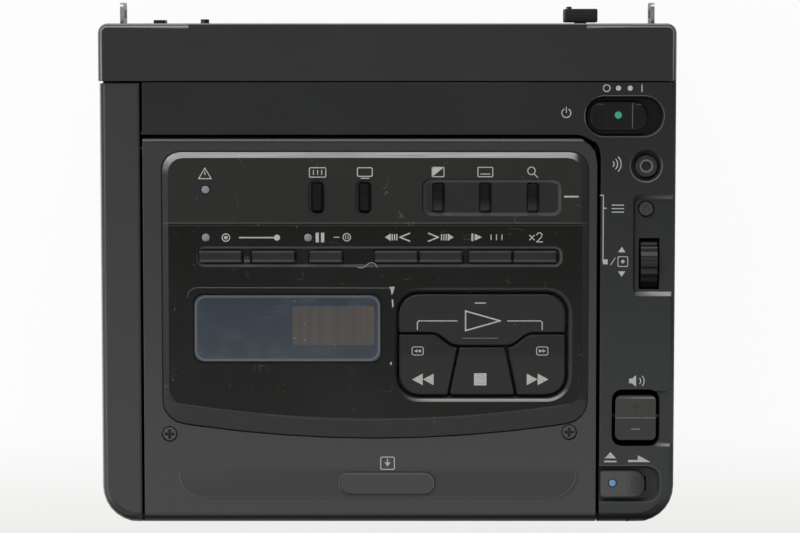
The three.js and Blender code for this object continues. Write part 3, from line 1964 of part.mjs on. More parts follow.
function mainBoard() {
  const plan = rect(boardLeft, boardFront, boardRight, boardRear, board.thick);
  const plate = prism(plan, boardBottom, boardBottom + board.thick);
  const boardTop = boardBottom + board.thick;
  const width = boardRight - boardLeft;
  const length = boardRear - boardFront;
  const chips = chipShares.map(([sx, sy, size]) => {
    const x = boardLeft + width * sx;
    const y = boardFront + length * sy;
    const half = (board.chip * size) / 2;
    return box(x - half, x + half, y - half, y + half, boardTop - fit, boardTop + board.chipThick);
  });
  const caps = capShares.map(([sx, sy]) => pinZ(
    boardLeft + width * sx,
    boardFront + length * sy,
    board.capRadius,
    boardTop - fit,
    boardTop + board.capHeight,
  ));
  const holes = chassisPosts().map(([x, y]) => pinZ(
    x,
    y,
    chassis.post + fit,
    boardBottom - overrun,
    boardTop + overrun,
  ));
  return cut(joined(plate, ...chips, ...caps), ...holes);
}

function jackPanelPiece() {
  const x0 = jackFace;
  const x1 = jackFace + jackPanel.thick;
  const z0 = door.bottom;
  const z1 = jackTop;
  const plate = box(x0, x1, jackFront, jackRear, z0, z1);
  const deep = innerWallLeft - fit;
  const w = jackPanel.returnWall;
  const returns = [
    box(x0, deep, jackFront, jackRear, z1 - w, z1),
    box(x0, deep, jackFront, jackFront + w, z0, z1),
    box(x0, deep, jackRear - w, jackRear, z0, z1),
  ];
  const earRoom = box(
    x0 - overrun,
    deep + overrun,
    jackFront - overrun,
    jackRear + overrun,
    z0 - overrun,
    doorAxisZ + door.barrel + fit,
  );
  const slotted = socketPlaces().map(([name, y, z]) => {
    if (name === 'digital_socket') {
      return box(
        x0 - overrun,
        x1 + overrun,
        y - digital.width / 2 - fit,
        y + digital.width / 2 + fit,
        z - digital.height / 2 - fit,
        z + digital.height / 2 + fit,
      );
    }
    const radius = name === 'svideo_socket' ? svideo.radius : phono.radius;
    return pinX(y, z, radius + fit, x0 - overrun, x1 + overrun, smallSides);
  });
  return cut(
    joined(plate, ...returns),
    cut(earRoom, box(x1, deep, jackFront, jackRear, z0, z1 + overrun)),
    ...slotted,
  );
}

function roundSocket(y, z, spec) {
  const face = jackFace - socket.proud;
  const back = innerWallLeft - fit - face;
  const flangeStart = socket.proud + jackPanel.thick + fit;
  return turned([
    [0, spec.depth],
    [spec.bore, spec.depth],
    [spec.bore, 0],
    [spec.radius, 0],
    [spec.radius, flangeStart],
    [spec.radius + socket.flangeBack, flangeStart],
    [spec.radius + socket.flangeBack, back],
    [0, back],
  ], 'inward', [face, y, z], smallSides);
}

function digitalSocket(y, z) {
  const face = jackFace - socket.proud;
  const back = innerWallLeft - fit;
  const flangeStart = jackFace + jackPanel.thick + fit;
  const flange = socket.flangeBack;
  const core = box(
    face,
    back,
    y - digital.width / 2,
    y + digital.width / 2,
    z - digital.height / 2,
    z + digital.height / 2,
  );
  const collar = box(
    flangeStart,
    back,
    y - digital.width / 2 - flange,
    y + digital.width / 2 + flange,
    z - digital.height / 2 - flange,
    z + digital.height / 2 + flange,
  );
  const well = box(
    face - overrun,
    face + digital.depth,
    y - digital.boreWidth / 2,
    y + digital.boreWidth / 2,
    z - digital.boreHeight / 2,
    z + digital.boreHeight / 2,
  );
  return cut(joined(core, collar), well);
}

function footPiece([x, y]) {
  return turned([
    [0, 0],
    [foot.radius - foot.edge, 0],
    [foot.radius, foot.edge],
    [foot.radius, foot.height],
    [0, foot.height],
  ], 'up', [x, y, 0]);
}

function footPlaces() {
  const x = right - foot.sideInset;
  const y0 = front + foot.frontInset;
  const y1 = rear - foot.rearInset;
  return {
    foot_front_left: [-x, y0],
    foot_front_right: [x, y0],
    foot_rear_left: [-x, y1],
    foot_rear_right: [x, y1],
  };
}

function lugPlaces() {
  return [-right + lug.fromSide, right - lug.fromSide];
}

function chassisPlan() {
  return rect(
    lidLeft + chassis.side,
    front + chassis.front,
    lidRight - chassis.side,
    rear - chassis.rear,
    chassis.corner,
  );
}

function chassisPosts() {
  const x0 = lidLeft + chassis.side + chassis.postInset;
  const x1 = lidRight - chassis.side - chassis.postInset;
  const y0 = front + chassis.front + chassis.postInset;
  const y1 = rear - chassis.rear - chassis.postInset;
  return [[x0, y0], [x1, y0], [x0, y1], [x1, y1]];
}

function boardBosses() {
  const x0 = boardLeft + board.bossInset;
  const x1 = boardRight - board.bossInset;
  const y0 = boardFront + board.boss;
  const y1 = boardRear - board.boss;
  return [[x0, y0], [x1, y0], [x0, y1], [x1, y1]];
}

function reelPlaces() {
  const y = slotRear - reel.fromMouth;
  return [[deckX - reel.spread, y], [deckX + reel.spread, y]];
}

function holderTabs() {
  const x0 = lidLeft + lid.skirt + lid.boss + fit + fit;
  const x1 = lidRight - lid.skirt - lid.boss - fit;
  return holderTabShares.flatMap((share) => {
    const y = slotRear + (slotFront - slotRear) * share;
    return [[x0, y], [x1, y]];
  });
}

function lidScrewPlaces() {
  return [
    [lidLeft + screwPlaces.left, front + screwPlaces.leftFront],
    [lidRight - screwPlaces.right, front + screwPlaces.rightFront],
  ];
}

function socketPlaces() {
  const z = door.bottom + (jackTop - door.bottom) * socketHeightShare;
  return Object.entries(socketShares).map(([name, share]) => [
    name,
    jackFront + (jackRear - jackFront) * share,
    z,
  ]);
}

function panelX(share) {
  return panelLeft + (panelRight - panelLeft) * share;
}

function panelY(share) {
  return panelRear - (panelRear - panelFront) * share;
}

function displayWindow() {
  const plan = rectAt(
    panelX(displayShare[0]),
    panelY(displayShare[1]),
    display.width,
    display.length,
    display.corner,
  );
  const windowTop = panelTop + display.proud;
  return block(plan, windowTop - display.thick, windowTop, display.proud);
}

function displayModule() {
  const [x, y] = [panelX(screenShare[0]), panelY(screenShare[1])];
  const windowBottom = panelTop + display.proud - display.thick;
  const backTop = panelBottom - fit;
  const face = prism(
    rectAt(x, y, display.screenWidth, display.screenLength, fit),
    backTop - fit,
    windowBottom - fit,
  );
  const grow = display.moduleThick + display.moduleThick;
  const back = prism(
    rectAt(x, y, display.screenWidth + grow, display.screenLength + grow, fit),
    backTop - display.moduleThick,
    backTop,
  );
  return joined(face, back);
}

addPiece('lower_housing', lowerHousing(), materials.lower);
addPiece('rear_cabinet', rearCabinet(), materials.shell);
addPiece('control_frame', controlFrame(), materials.shell);
addPiece('jack_door', jackDoor(), materials.door);
Object.entries(footPlaces()).forEach(([name, place]) => addPiece(
  name,
  footPiece(place),
  materials.rubber,
));
addPiece('battery_terminal', batteryTerminal(), materials.contact);
addPiece('battery_release', batteryRelease(), materials.slider);
addPiece('dc_inlet', dcInlet(), materials.dark);
addPiece('strap_lug_left', strapLug(lugPlaces()[0], -1), materials.steel);
addPiece('strap_lug_right', strapLug(lugPlaces()[1], 1), materials.steel);

addPiece('main_board', mainBoard(), materials.board);
addPiece('deck_chassis', deckChassis(), materials.steel);
addDrum();
addPiece('supply_reel', reelTable(...reelPlaces()[0]), materials.reel);
addPiece('takeup_reel', reelTable(...reelPlaces()[1]), materials.reel);
addPiece('capstan_flywheel', capstanFlywheel(), materials.steel);
addPiece('pinch_roller', pinchRoller(), materials.rubber);

addPiece('jack_panel', jackPanelPiece(), materials.dark);
socketPlaces().forEach(([name, y, z]) => {
  if (name === 'digital_socket') {
    addPiece(name, digitalSocket(y, z), materials.dark);
    return;
  }
  addPiece(name, roundSocket(y, z, name === 'svideo_socket' ? svideo : phono), materials.dark);
});

addPiece(
  'lid_hinge_rod',
  pinX(hingeY, hingeZ, hinge.rod, innerWallLeft, columnLeft + frame.wall + hinge.rodReach),
  materials.steel,
);
addPiece('lid_frame', lidFrame(), materials.lid);
addPiece('lid_panel', lidPanel(), materials.panel);
addPiece('display_window', displayWindow(), materials.window);
addPiece('display_module', displayModule(), materials.screen);
addLensPieces();
addPiece('lid_screw_left', lidScrew(lidScrewPlaces()[0]), materials.steel);
addPiece('lid_screw_right', lidScrew(lidScrewPlaces()[1]), materials.steel);
addPiece('cassette_holder', cassetteHolder(), materials.steel);
addTopKeys();
addRowKeys();
addClusterKeys();

const powerFloor = top - power.depth;
const ejectFloor = top - eject.depth;
addPiece(
  'power_slide',
  sliderPiece(
    powerKnobLeft,
    powerKnobLeft + power.knobLength,
    powerY,
    powerFloor,
    power,
    powerKnobX,
    true,
  ),
  materials.slider,
);
addPiece(
  'eject_slide',
  sliderPiece(
    ejectKnobLeft,
    ejectKnobLeft + eject.knobLength,
    ejectY,
    ejectFloor,
    eject,
    ejectStemX,
    false,
  ),
  materials.slider,
);
addPiece('link_button', roundButton(linkX, linkY, linkButton), materials.slider);
addPiece('menu_button', roundButton(menuX, menuY, menuButton), materials.slider);
addPiece('select_dial', selectDial(), materials.dark);
addPiece('volume_rocker', volumeRocker(), materials.slider);

// The lugs reach out behind the case, so the case stands forward of the middle of the box by half of that.
group.position.y = -lug.reach / 2;

export default group;
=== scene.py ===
import bpy
import bmesh
import math
from mathutils import Matrix, Vector


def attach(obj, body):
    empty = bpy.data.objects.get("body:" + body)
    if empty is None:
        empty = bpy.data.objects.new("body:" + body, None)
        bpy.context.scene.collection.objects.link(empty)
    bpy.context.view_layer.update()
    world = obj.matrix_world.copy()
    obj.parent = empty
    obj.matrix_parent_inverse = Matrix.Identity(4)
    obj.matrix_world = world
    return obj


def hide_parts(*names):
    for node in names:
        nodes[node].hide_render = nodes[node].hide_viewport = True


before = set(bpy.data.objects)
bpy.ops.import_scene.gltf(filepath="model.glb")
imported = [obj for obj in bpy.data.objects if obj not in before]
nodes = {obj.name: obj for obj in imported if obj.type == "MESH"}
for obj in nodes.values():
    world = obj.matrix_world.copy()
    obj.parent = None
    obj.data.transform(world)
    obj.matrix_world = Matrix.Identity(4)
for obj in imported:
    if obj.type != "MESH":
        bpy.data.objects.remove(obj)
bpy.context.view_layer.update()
mm = 0.001
print("frame loaded:", len(nodes), "nodes")

# the camera hangs over the control face; its small shift keeps the leaning view in frame
cameraSetup = {
    "lens": 157.0, "sensor": 36.0, "near": 0.05, "distance": 0.9, "tilt": 5.8, "shift": 0.1715,
    "target": (0.00325, -0.036, 0.0572),
}


def addCamera():
    tilt = math.radians(cameraSetup["tilt"])
    data = bpy.data.cameras.new("topCamera")
    data.lens = cameraSetup["lens"]
    data.sensor_width = cameraSetup["sensor"]
    data.shift_y = cameraSetup["shift"]
    data.clip_start = cameraSetup["near"]
    eye = bpy.data.objects.new("topCamera", data)
    away = Vector((0.0, math.sin(tilt), math.cos(tilt)))
    eye.location = Vector(cameraSetup["target"]) + away * cameraSetup["distance"]
    eye.rotation_euler = (-tilt, 0.0, 0.0)
    bpy.context.scene.collection.objects.link(eye)
    bpy.context.scene.camera = eye


addCamera()
print("camera placed")


# one shader socket, so that sums and masks read as plain arithmetic
class Signal:
    def __init__(self, graph, socket):
        self.graph = graph
        self.socket = socket

    def math(self, operation, first, second=None):
        values = [first] if second is None else [first, second]
        return self.graph.node("ShaderNodeMath", {"operation": operation}, dict(enumerate(values)))

    def __add__(self, other):
        return self.math("ADD", self, other)

    def __radd__(self, other):
        return self.math("ADD", other, self)

    def __sub__(self, other):
        return self.math("SUBTRACT", self, other)

    def __rsub__(self, other):
        return self.math("SUBTRACT", other, self)

    def __mul__(self, other):
        return self.math("MULTIPLY", self, other)

    def __gt__(self, other):
        return self.math("GREATER_THAN", self, other)

    def __lt__(self, other):
        return self.math("LESS_THAN", self, other)

    def __abs__(self):
        return self.math("ABSOLUTE", self)

    def larger(self, other):
        return self.math("MAXIMUM", self, other)

    # runs softly from start to end while the signal runs from low to high
    def ease(self, low, high, start=0.0, end=1.0):
        values = {"Value": self, "From Min": low, "From Max": high, "To Min": start, "To Max": end}
        return self.graph.node("ShaderNodeMapRange", {"interpolation_type": "SMOOTHSTEP"}, values)


# all the nodes of a material or of the room come from one method
class Graph:
    def __init__(self, tree):
        self.tree = tree

    # an input takes a signal or a constant
    def feed(self, node, key, value):
        if isinstance(value, Signal):
            self.tree.links.new(value.socket, node.inputs[key])
        else:
            node.inputs[key].default_value = value

    def node(self, kind, settings=None, values=None, output=0):
        made = self.tree.nodes.new(kind)
        for key, value in (settings or {}).items():
            setattr(made, key, value)
        for key, value in (values or {}).items():
            self.feed(made, key, value)
        return Signal(self, made.outputs[output])


# noises behind the wear: what makes specks ragged, gathers hairs and breaks scratches into lengths
wearLook = {
    "push": 2500.0, "ragged": 1.6, "curl": 0.52, "patch": 210.0, "turn": 33.0, "gap": 90.0,
    "broken": (0.5, 0.62),
}


# a material; places are read in millimetres
class Paint(Graph):
    def __init__(self, name, roughness=0.5, metallic=0.0, specular=0.5):
        self.material = bpy.data.materials.new(name)
        self.material.use_nodes = True
        super().__init__(self.material.node_tree)
        self.shader = self.tree.nodes["Principled BSDF"]
        self.set("Roughness", roughness)
        self.set("Metallic", metallic)
        self.set("Specular IOR Level", specular)
        self.place = self.node("ShaderNodeTexCoord", output="Object")

    def set(self, key, value):
        self.feed(self.shader, key, value)

    def axis(self, name):
        return self.node("ShaderNodeSeparateXYZ", values={"Vector": self.place}, output=name) * 1000.0

    def vector(self, operation, first, second):
        return self.node("ShaderNodeVectorMath", {"operation": operation}, {0: first, 1: second})

    def stretched(self, scale, turn=0.0):
        values = {"Vector": self.place, "Scale": scale, "Rotation": (0.0, 0.0, math.radians(turn))}
        return self.node("ShaderNodeMapping", values=values)

    def noise(self, scale, detail=2.0, where=None):
        values = {"Vector": where or self.place, "Scale": scale, "Detail": detail}
        return self.node("ShaderNodeTexNoise", values=values)

    def mix(self, factor, first, second):
        colors = {6 + i: tuned(c) for i, c in enumerate((first, second))}
        return self.node("ShaderNodeMix", {"data_type": "RGBA"}, {0: factor, **colors}, output=2)

    # how far a place lies outside a rectangle with round corners, less than nothing inside it
    def outside(self, centre, half, radius):
        (cx, cy), (hx, hy) = centre, half
        dx = (abs(self.axis("X") - cx) - (hx - radius)).larger(0.0)
        dy = (abs(self.axis("Y") - cy) - (hy - radius)).larger(0.0)
        return dx.math("SQRT", dx * dx + dy * dy) - radius

    # a place pushed about by noise, so that round cells come out ragged
    def ragged(self, amount):
        values = {"Vector": self.place, "Scale": wearLook["push"]}
        push = self.node("ShaderNodeTexNoise", values=values, output="Color")
        centred = self.vector("SUBTRACT", push, (0.5, 0.5, 0.5))
        scaled = self.vector("MULTIPLY", centred, (amount * mm,) * 3)
        return self.vector("ADD", self.place, scaled)

    # ragged light specks, one or none in each cell
    def dust(self, cell, size, share):
        values = {"Vector": self.ragged(size * wearLook["ragged"]), "Scale": 1.0 / (cell * mm)}
        spot = self.node("ShaderNodeTexVoronoi", values=values)
        chance = self.node("ShaderNodeTexVoronoi", values=values, output="Color")
        pick = self.node("ShaderNodeSeparateColor", values={"Color": chance})
        return (spot < size / cell) * (pick > 1.0 - share)

    # short curled hairs: the level lines of a noise, kept only in small patches
    def hairs(self, scale, width, share):
        level = self.noise(scale, 1.0)
        patches = self.noise(wearLook["patch"], 1.0, self.stretched((1.0, 1.0, 1.0), wearLook["turn"]))
        return (abs(level - wearLook["curl"]) < width) * (patches > 1.0 - share)

    # hairlines that run at one angle, broken into short lengths
    def scratches(self, angle, length, width, share):
        scale = (1.0 / (length * mm), 1.0 / (width * mm), 1.0)
        lines = self.noise(1.0, 1.0, self.stretched(scale, angle))
        return (lines > 1.0 - share) * self.noise(wearLook["gap"], 1.0).ease(*wearLook["broken"])

    def bump(self, height, strength, distance):
        values = {"Height": height, "Strength": strength, "Distance": distance * mm}
        self.set("Normal", self.node("ShaderNodeBump", values=values))


def linear(code):
    values = [int(code[i:i + 2], 16) / 255.0 for i in (0, 2, 4)]
    return tuple(v / 12.92 if v <= 0.04045 else ((v + 0.055) / 1.055) ** 2.4 for v in values)


def tuned(color):
    return (*linear(color), 1.0) if isinstance(color, str) else color


# what every skin shares: blotches, specks, the painted shade on recess floors and the painted highlights
# on their rims, where the painted light toward the front is full, and the soft ends of painted lines
skinLook = {
    "blotch": 28.0, "cell": 7.0, "speck": 0.13, "dust": "8a8c88", "front": -60.0, "floor": 0.3,
    "rim": 0.12, "rimShare": 0.8, "paleShare": 0.9, "lead": 0.3, "end": 4.0,
}


# a moulded or painted skin: fine grain, slow blotches and a few specks of dust, with painted light over
# them: a lighter tone toward the front, painted shade and highlights in recesses, and painted strips and
# lines
def mouldedSkin(
    name, color, lighter, roughness=0.5, grain=0.22, depth=0.02, dusty=0.12, shine=0.5,
    recesses=(), pale=(), contours=(), front=None, fade=45.0,
):
    look = skinLook
    paint = Paint(name, roughness, specular=shine)
    fine = paint.noise(1.0 / (grain * mm), 2.0)
    tone = paint.mix(paint.noise(look["blotch"], 3.0).ease(0.3, 0.7), color, lighter)
    x, y = paint.axis("X"), paint.axis("Y")
    # painted light: the skin turns to its lighter front colour toward the front
    if front:
        tone = paint.mix(y.ease(look["front"], fade), front, tone)
    specks = paint.dust(look["cell"], look["speck"], dusty)
    wearAndPaintedLight = paint.mix(specks * 0.5, tone, look["dust"])
    # painted shade on the floors of recesses and painted highlights on their rims
    for recess in recesses:
        border = paint.outside(recess["centre"], recess["half"], recess["radius"])
        floor = (border < look["floor"]) * (paint.axis("Z") < recess["level"])
        wearAndPaintedLight = paint.mix(floor, wearAndPaintedLight, recess["color"])
        rim = (abs(border - recess["rim"]) < look["rim"]) * look["rimShare"]
        wearAndPaintedLight = paint.mix(rim, wearAndPaintedLight, recess["edge"])
    # pale strips are painted highlights, and a dark strip among them is painted shade
    for x0, x1, y0, y1, color in pale:
        strip = (x > x0) * (x < x1) * (y > y0) * (y < y1)
        rise = x.ease(x0 - (x1 - x0) * look["lead"], x1)
        wearAndPaintedLight = paint.mix(strip * rise * look["paleShare"], wearAndPaintedLight, color)
    # lines along outlines are painted highlights, and the dark ones are painted shade
    for line in contours:
        border = paint.outside(line["centre"], line["half"], line["radius"])
        band = (abs(border - line["at"]) < line["reach"]) * (x > line["start"]) * (x < line["end"])
        ending = 1.0 - y.ease(line["rear"] - look["end"], line["rear"])
        band = band * ending * (paint.axis("Z") > line["level"])
        wearAndPaintedLight = paint.mix(band * line["share"], wearAndPaintedLight, line["color"])
    paint.set("Base Color", wearAndPaintedLight)
    paint.set("Roughness", roughness + (fine - 0.5) * 0.18 + specks * 0.2)
    paint.bump(fine, 0.25, depth)
    return paint.material


# bare sheet metal, drawn in one direction
def drawnMetal(name, color, darker, roughness=0.35, stretch=(1200.0, 60.0, 1200.0)):
    paint = Paint(name, roughness, metallic=1.0)
    grain = paint.noise(1.0, 3.0, paint.stretched(stretch))
    paint.set("Base Color", paint.mix(grain, darker, color))
    paint.set("Roughness", roughness + (grain - 0.5) * 0.25)
    paint.bump(grain, 0.15, 0.01)
    return paint.material


def inkFinish(name, color, wearAndPaintedLight):
    paint = Paint(name, 0.55)
    fleck = paint.noise(2600.0, 2.0)
    paint.set("Base Color", paint.mix(fleck.ease(0.25, 0.6), wearAndPaintedLight, color))
    paint.set("Roughness", 0.45 + fleck * 0.2)
    return paint.material


# painted highlight lines and the painted shade of the dark front edge follow the outline of the case
caseOutline = {
    "centre": (0.0, -2.65), "half": (74.0, 64.2), "radius": 2.4,
    "start": -80.0, "end": 80.0, "rear": 80.0, "level": 55.7,
}
frontOutline = {**caseOutline, "radius": 9.7}
# painted shade on the front rounding
frontEdge = {
    **frontOutline, "at": -1.05, "reach": 1.45, "rear": -59.5, "share": 0.8, "color": "0c0c0a",
}
# painted highlights along the rounded rear and side edges of the cabinet
cabinetHighlights = (
    {**caseOutline, "at": -0.16, "reach": 0.17, "share": 0.9, "color": "8c8e8b"},
    {**caseOutline, "at": -0.85, "reach": 0.2, "end": -50.7, "share": 0.9, "color": "8e908d"},
    {**caseOutline, "at": -0.85, "reach": 0.18, "start": 51.0, "share": 0.8, "color": "8a8c8b"},
)
# painted highlights along the door's rounded edge, and its front edge in painted shade
doorLines = (
    {**frontOutline, "at": -0.5, "reach": 0.24, "share": 0.9, "color": "a6a39e"},
    {**frontOutline, "at": -1.55, "reach": 0.17, "share": 0.7, "color": "6e6f6c"},
    {**frontEdge, "share": 0.7},
)

# the link button: its well with a pale rim, a painted highlight, and in its middle a hole painted black
# as shade, with a ring round it painted as a highlight
linkLook = {"centre": (66.35, 25.19), "well": 4.2, "hole": 1.22, "ringAt": 0.24, "ring": 0.25}
linkRim = {
    **caseOutline, "centre": linkLook["centre"], "half": (linkLook["well"],) * 2,
    "radius": linkLook["well"], "rear": 29.0, "level": 50.0, "at": -0.1, "reach": 0.13, "share": 0.7,
    "color": "7c7e7c",
}
shellLines = (frontEdge, linkRim)

# ledges of the control column that catch the light: left, right, front, rear and colour
shellPale = (
    (63.9, 73.3, 16.7, 17.8, "666867"),
    (63.7, 73.0, -8.2, -7.1, "b4b5b2"),
    (70.3, 73.4, -33.3, -32.7, "4a4c4b"),
    (69.2, 72.9, -47.1, -46.4, "a0a19f"),
)

# painted shade makes the power recess black at its floor and the eject recess a little darker, and both
# switch recesses have a painted highlight on their rim
shellRecesses = (
    {
        "level": 55.95, "centre": (60.68, 37.91), "half": (9.45, 4.5), "radius": 4.5, "rim": 0.75,
        "color": "010101", "edge": "6c6e6e",
    },
    {
        "level": 55.95, "centre": (61.0, -56.85), "half": (8.7, 3.9), "radius": 2.6, "rim": 0.9,
        "color": "353738", "edge": "5a5b5c",
    },
)
caseGrain = {"grain": 0.3, "depth": 0.012}
smallGrain = {"grain": 0.15, "depth": 0.01}
cabinetFinish = mouldedSkin("cabinetShell", "232323", "262626", 0.4, contours=cabinetHighlights, **caseGrain)
# painted light: the shell turns lighter toward the front
shellFinish = mouldedSkin(
    "charcoalShell", "262727", "292a2a", 0.4, shine=0.25, recesses=shellRecesses,
    pale=shellPale, contours=shellLines, front="3c3e3e", **caseGrain,
)
baseFinish = mouldedSkin("charcoalBase", "1a1a1a", "1e1e1e", 0.5, grain=0.35, depth=0.04)
# painted light: the door turns lighter toward the front
doorFinish = mouldedSkin("greyDoor", "2e302f", "323433", 0.45, contours=doorLines, front="3e403e")

# the outlines of the shallow pad and of the push pill on it, painted as lines: the pad's is a painted
# highlight, and the pill's is a painted highlight behind and painted shade in front
lidLine = {"start": -80.0, "end": 80.0, "level": 50.0, "at": 0.0}
padLine = {**lidLine, "centre": (-2.58, -52.0), "half": (51.2, 8.2), "radius": 6.0}
pillLine = {**lidLine, "centre": (-0.3, -57.0), "half": (12.2, 2.95), "radius": 2.4}
lidLines = (
    {**padLine, "reach": 0.13, "rear": -51.5, "share": 0.45, "color": "626461"},
    {**pillLine, "reach": 0.16, "rear": 0.0, "share": 0.55, "color": "686a67"},
    {**pillLine, "reach": 0.2, "rear": -56.0, "share": 0.8, "color": "1d1e1c"},
    frontEdge,
)
# painted light: the lid turns lighter toward the front
lidFinish = mouldedSkin(
    "greyLid", "1b1b1b", "1f1f1e", 0.4, grain=0.18, dusty=0.2, shine=0.8,
    contours=lidLines, front="30322f", fade=18.0,
)

# the power knob shares one plastic with the dark rings under the dots, which are painted shade, and its
# grip carries painted highlights at its edges
slideSkin = {"shine": 0.25, **smallGrain}
gripHighlights = (
    (62.5, 62.78, 34.9, 41.3, "767876"),
    (52.7, 55.2, 40.8, 41.1, "4a4b4a"),
    (63.0, 65.0, 40.8, 41.1, "4a4b4a"),
)
powerFinish = mouldedSkin("powerPlastic", "111212", "151616", 0.35, pale=gripHighlights, **slideSkin)
# the dark rings of painted shade under the dots
dotShadeFinish = mouldedSkin("dotShade", "111212", "151616", 0.35, **slideSkin)
menuFinish = mouldedSkin("menuPlastic", "333434", "3c3d3d", 0.35, dusty=0.0, **smallGrain)
releaseFinish = mouldedSkin("releasePlastic", "252626", "2e2f2f", 0.4, shine=0.3, **smallGrain)

# the ribs of the eject knob are painted: pale strips as highlights on their crests, on a dark strip of
# painted shade
ribs = {"first": 61.9, "pitch": 0.75, "width": 0.25, "count": 5, "front": -60.4, "rear": -53.2}
ejectRibs = [(61.6, 66.9, ribs["front"], ribs["rear"], "242526")]
for k in range(ribs["count"]):
    left = ribs["first"] + ribs["pitch"] * k
    ejectRibs.append((left, left + ribs["width"], ribs["front"], ribs["rear"], "4c4d4e"))
ejectFinish = mouldedSkin("ejectPlastic", "494a4a", "4f5050", 0.45, pale=ejectRibs, **smallGrain)

# painted shade darkens a whole piece below its level, and its rim line lies off the piece
shade = {"radius": 1.0, "rim": 9.0}
rockerShade = {
    **shade, "level": 56.5, "centre": (64.0, -39.6), "half": (9.0, 9.0), "color": "050505",
    "edge": "050505",
}
# a painted highlight along the rocker's rear edge
rockerHighlight = (59.2, 68.9, -34.6, -34.25, "8c8a88")
rockerFinish = mouldedSkin(
    "rockerPlastic", "343331", "393836", 0.42, recesses=(rockerShade,), pale=(rockerHighlight,), **smallGrain,
)
dialFinish = mouldedSkin("dialPlastic", "141516", "1b1c1d", 0.4, **smallGrain)
jackAndSeamShadeFinish = mouldedSkin("blackMoulding", "131314", "191919", 0.55)
rubberFinish = mouldedSkin("footRubber", "161616", "1c1c1c", 0.85, grain=0.3, depth=0.05)
reelFinish = mouldedSkin("whiteMoulding", "c9c6bd", "d2cfc7", 0.45, dusty=0.0)
steelFinish = drawnMetal("platedSteel", "b5b3ae", "a3a19c")
blackSteelFinish = drawnMetal("blackedSteel", "2c2c2e", "1e1e20", 0.4)
drumFinish = drawnMetal("polishedAluminium", "d4d5d7", "c2c3c5", 0.18, (300.0, 300.0, 9000.0))
contactFinish = drawnMetal("goldContact", "d8b468", "c09c52", 0.25)
whiteInk = inkFinish("whitePrint", "c8cac4", "a9aba6")
greyInkAndHighlight = inkFinish("greyPrintAndHighlight", "8b9296", "6c7276")
# painted shade darkens the screw heads below their top
screwShade = {
    **shade, "level": 56.95, "centre": (-4.6, -43.6), "half": (60.0, 6.0), "color": "0d0c0b",
    "edge": "0d0c0b",
}
screwFinish = mouldedSkin(
    "screwHead", "4c4844", "514d48", 0.4, depth=0.01, dusty=0.0, recesses=(screwShade,),
)


# the raised panel: matte behind the split, gloss in front of it, worn by fingers and dust;
# its front band is bowed, and its rear slope is lit as far as its right corner
panelLook = {
    "split": 10.4, "top": 57.965, "matte": "2c2b29", "gloss": "161614", "slope": "2f312f",
    "front": "3c3e3c", "frontEnd": -35.0, "bowFront": -39.75, "bowMiddle": -3.0, "bend": 0.00155,
    "rear": "c6c9c8", "rearDark": "6c6f6e", "rearFrom": (22.5, 28.0), "rearTo": (47.6, 49.2),
    "ridge": "545654", "rubbed": "353735", "dust": "a0a29d",
}

# its tracks and dishes: outline, colour of the floor and of the pale line along the rim, a painted
# highlight
dish = {"radius": 2.2, "wide": 0.2, "inset": 0.08, "from": -90.0, "rise": 4.0}
narrowDish = {**dish, "half": (2.4, 4.8), "floor": "151514", "rim": "3e403d"}
panelDishes = (
    {
        **dish, "centre": (-2.05, 2.04), "half": (47.1, 2.82), "floor": "10100f", "rim": "5a5c59",
        "wide": 0.34,
    },
    {
        **dish, "centre": (26.8, 17.15), "half": (17.9, 4.8), "floor": "2a2b2a", "rim": "545653",
        "wide": 0.42, "from": 8.2,
    },
    {**narrowDish, "centre": (-17.9, 17.15)},
    {**narrowDish, "centre": (-5.8, 17.15)},
    {
        **dish, "centre": (24.46, -20.69), "half": (22.65, 14.25), "radius": 6.2, "floor": "0c0d0c",
        "rim": "2e302e",
    },
)

# the transport keys' dish is the last one, and the ring round it is a painted highlight, bright in front
# and dim behind, that ends at its left
clusterRing = {
    "at": 0.1, "width": 0.36, "dim": "363836", "bright": "a2a4a1",
    "fade": (-34.8, -31.5), "rise": (3.0, 12.0),
}


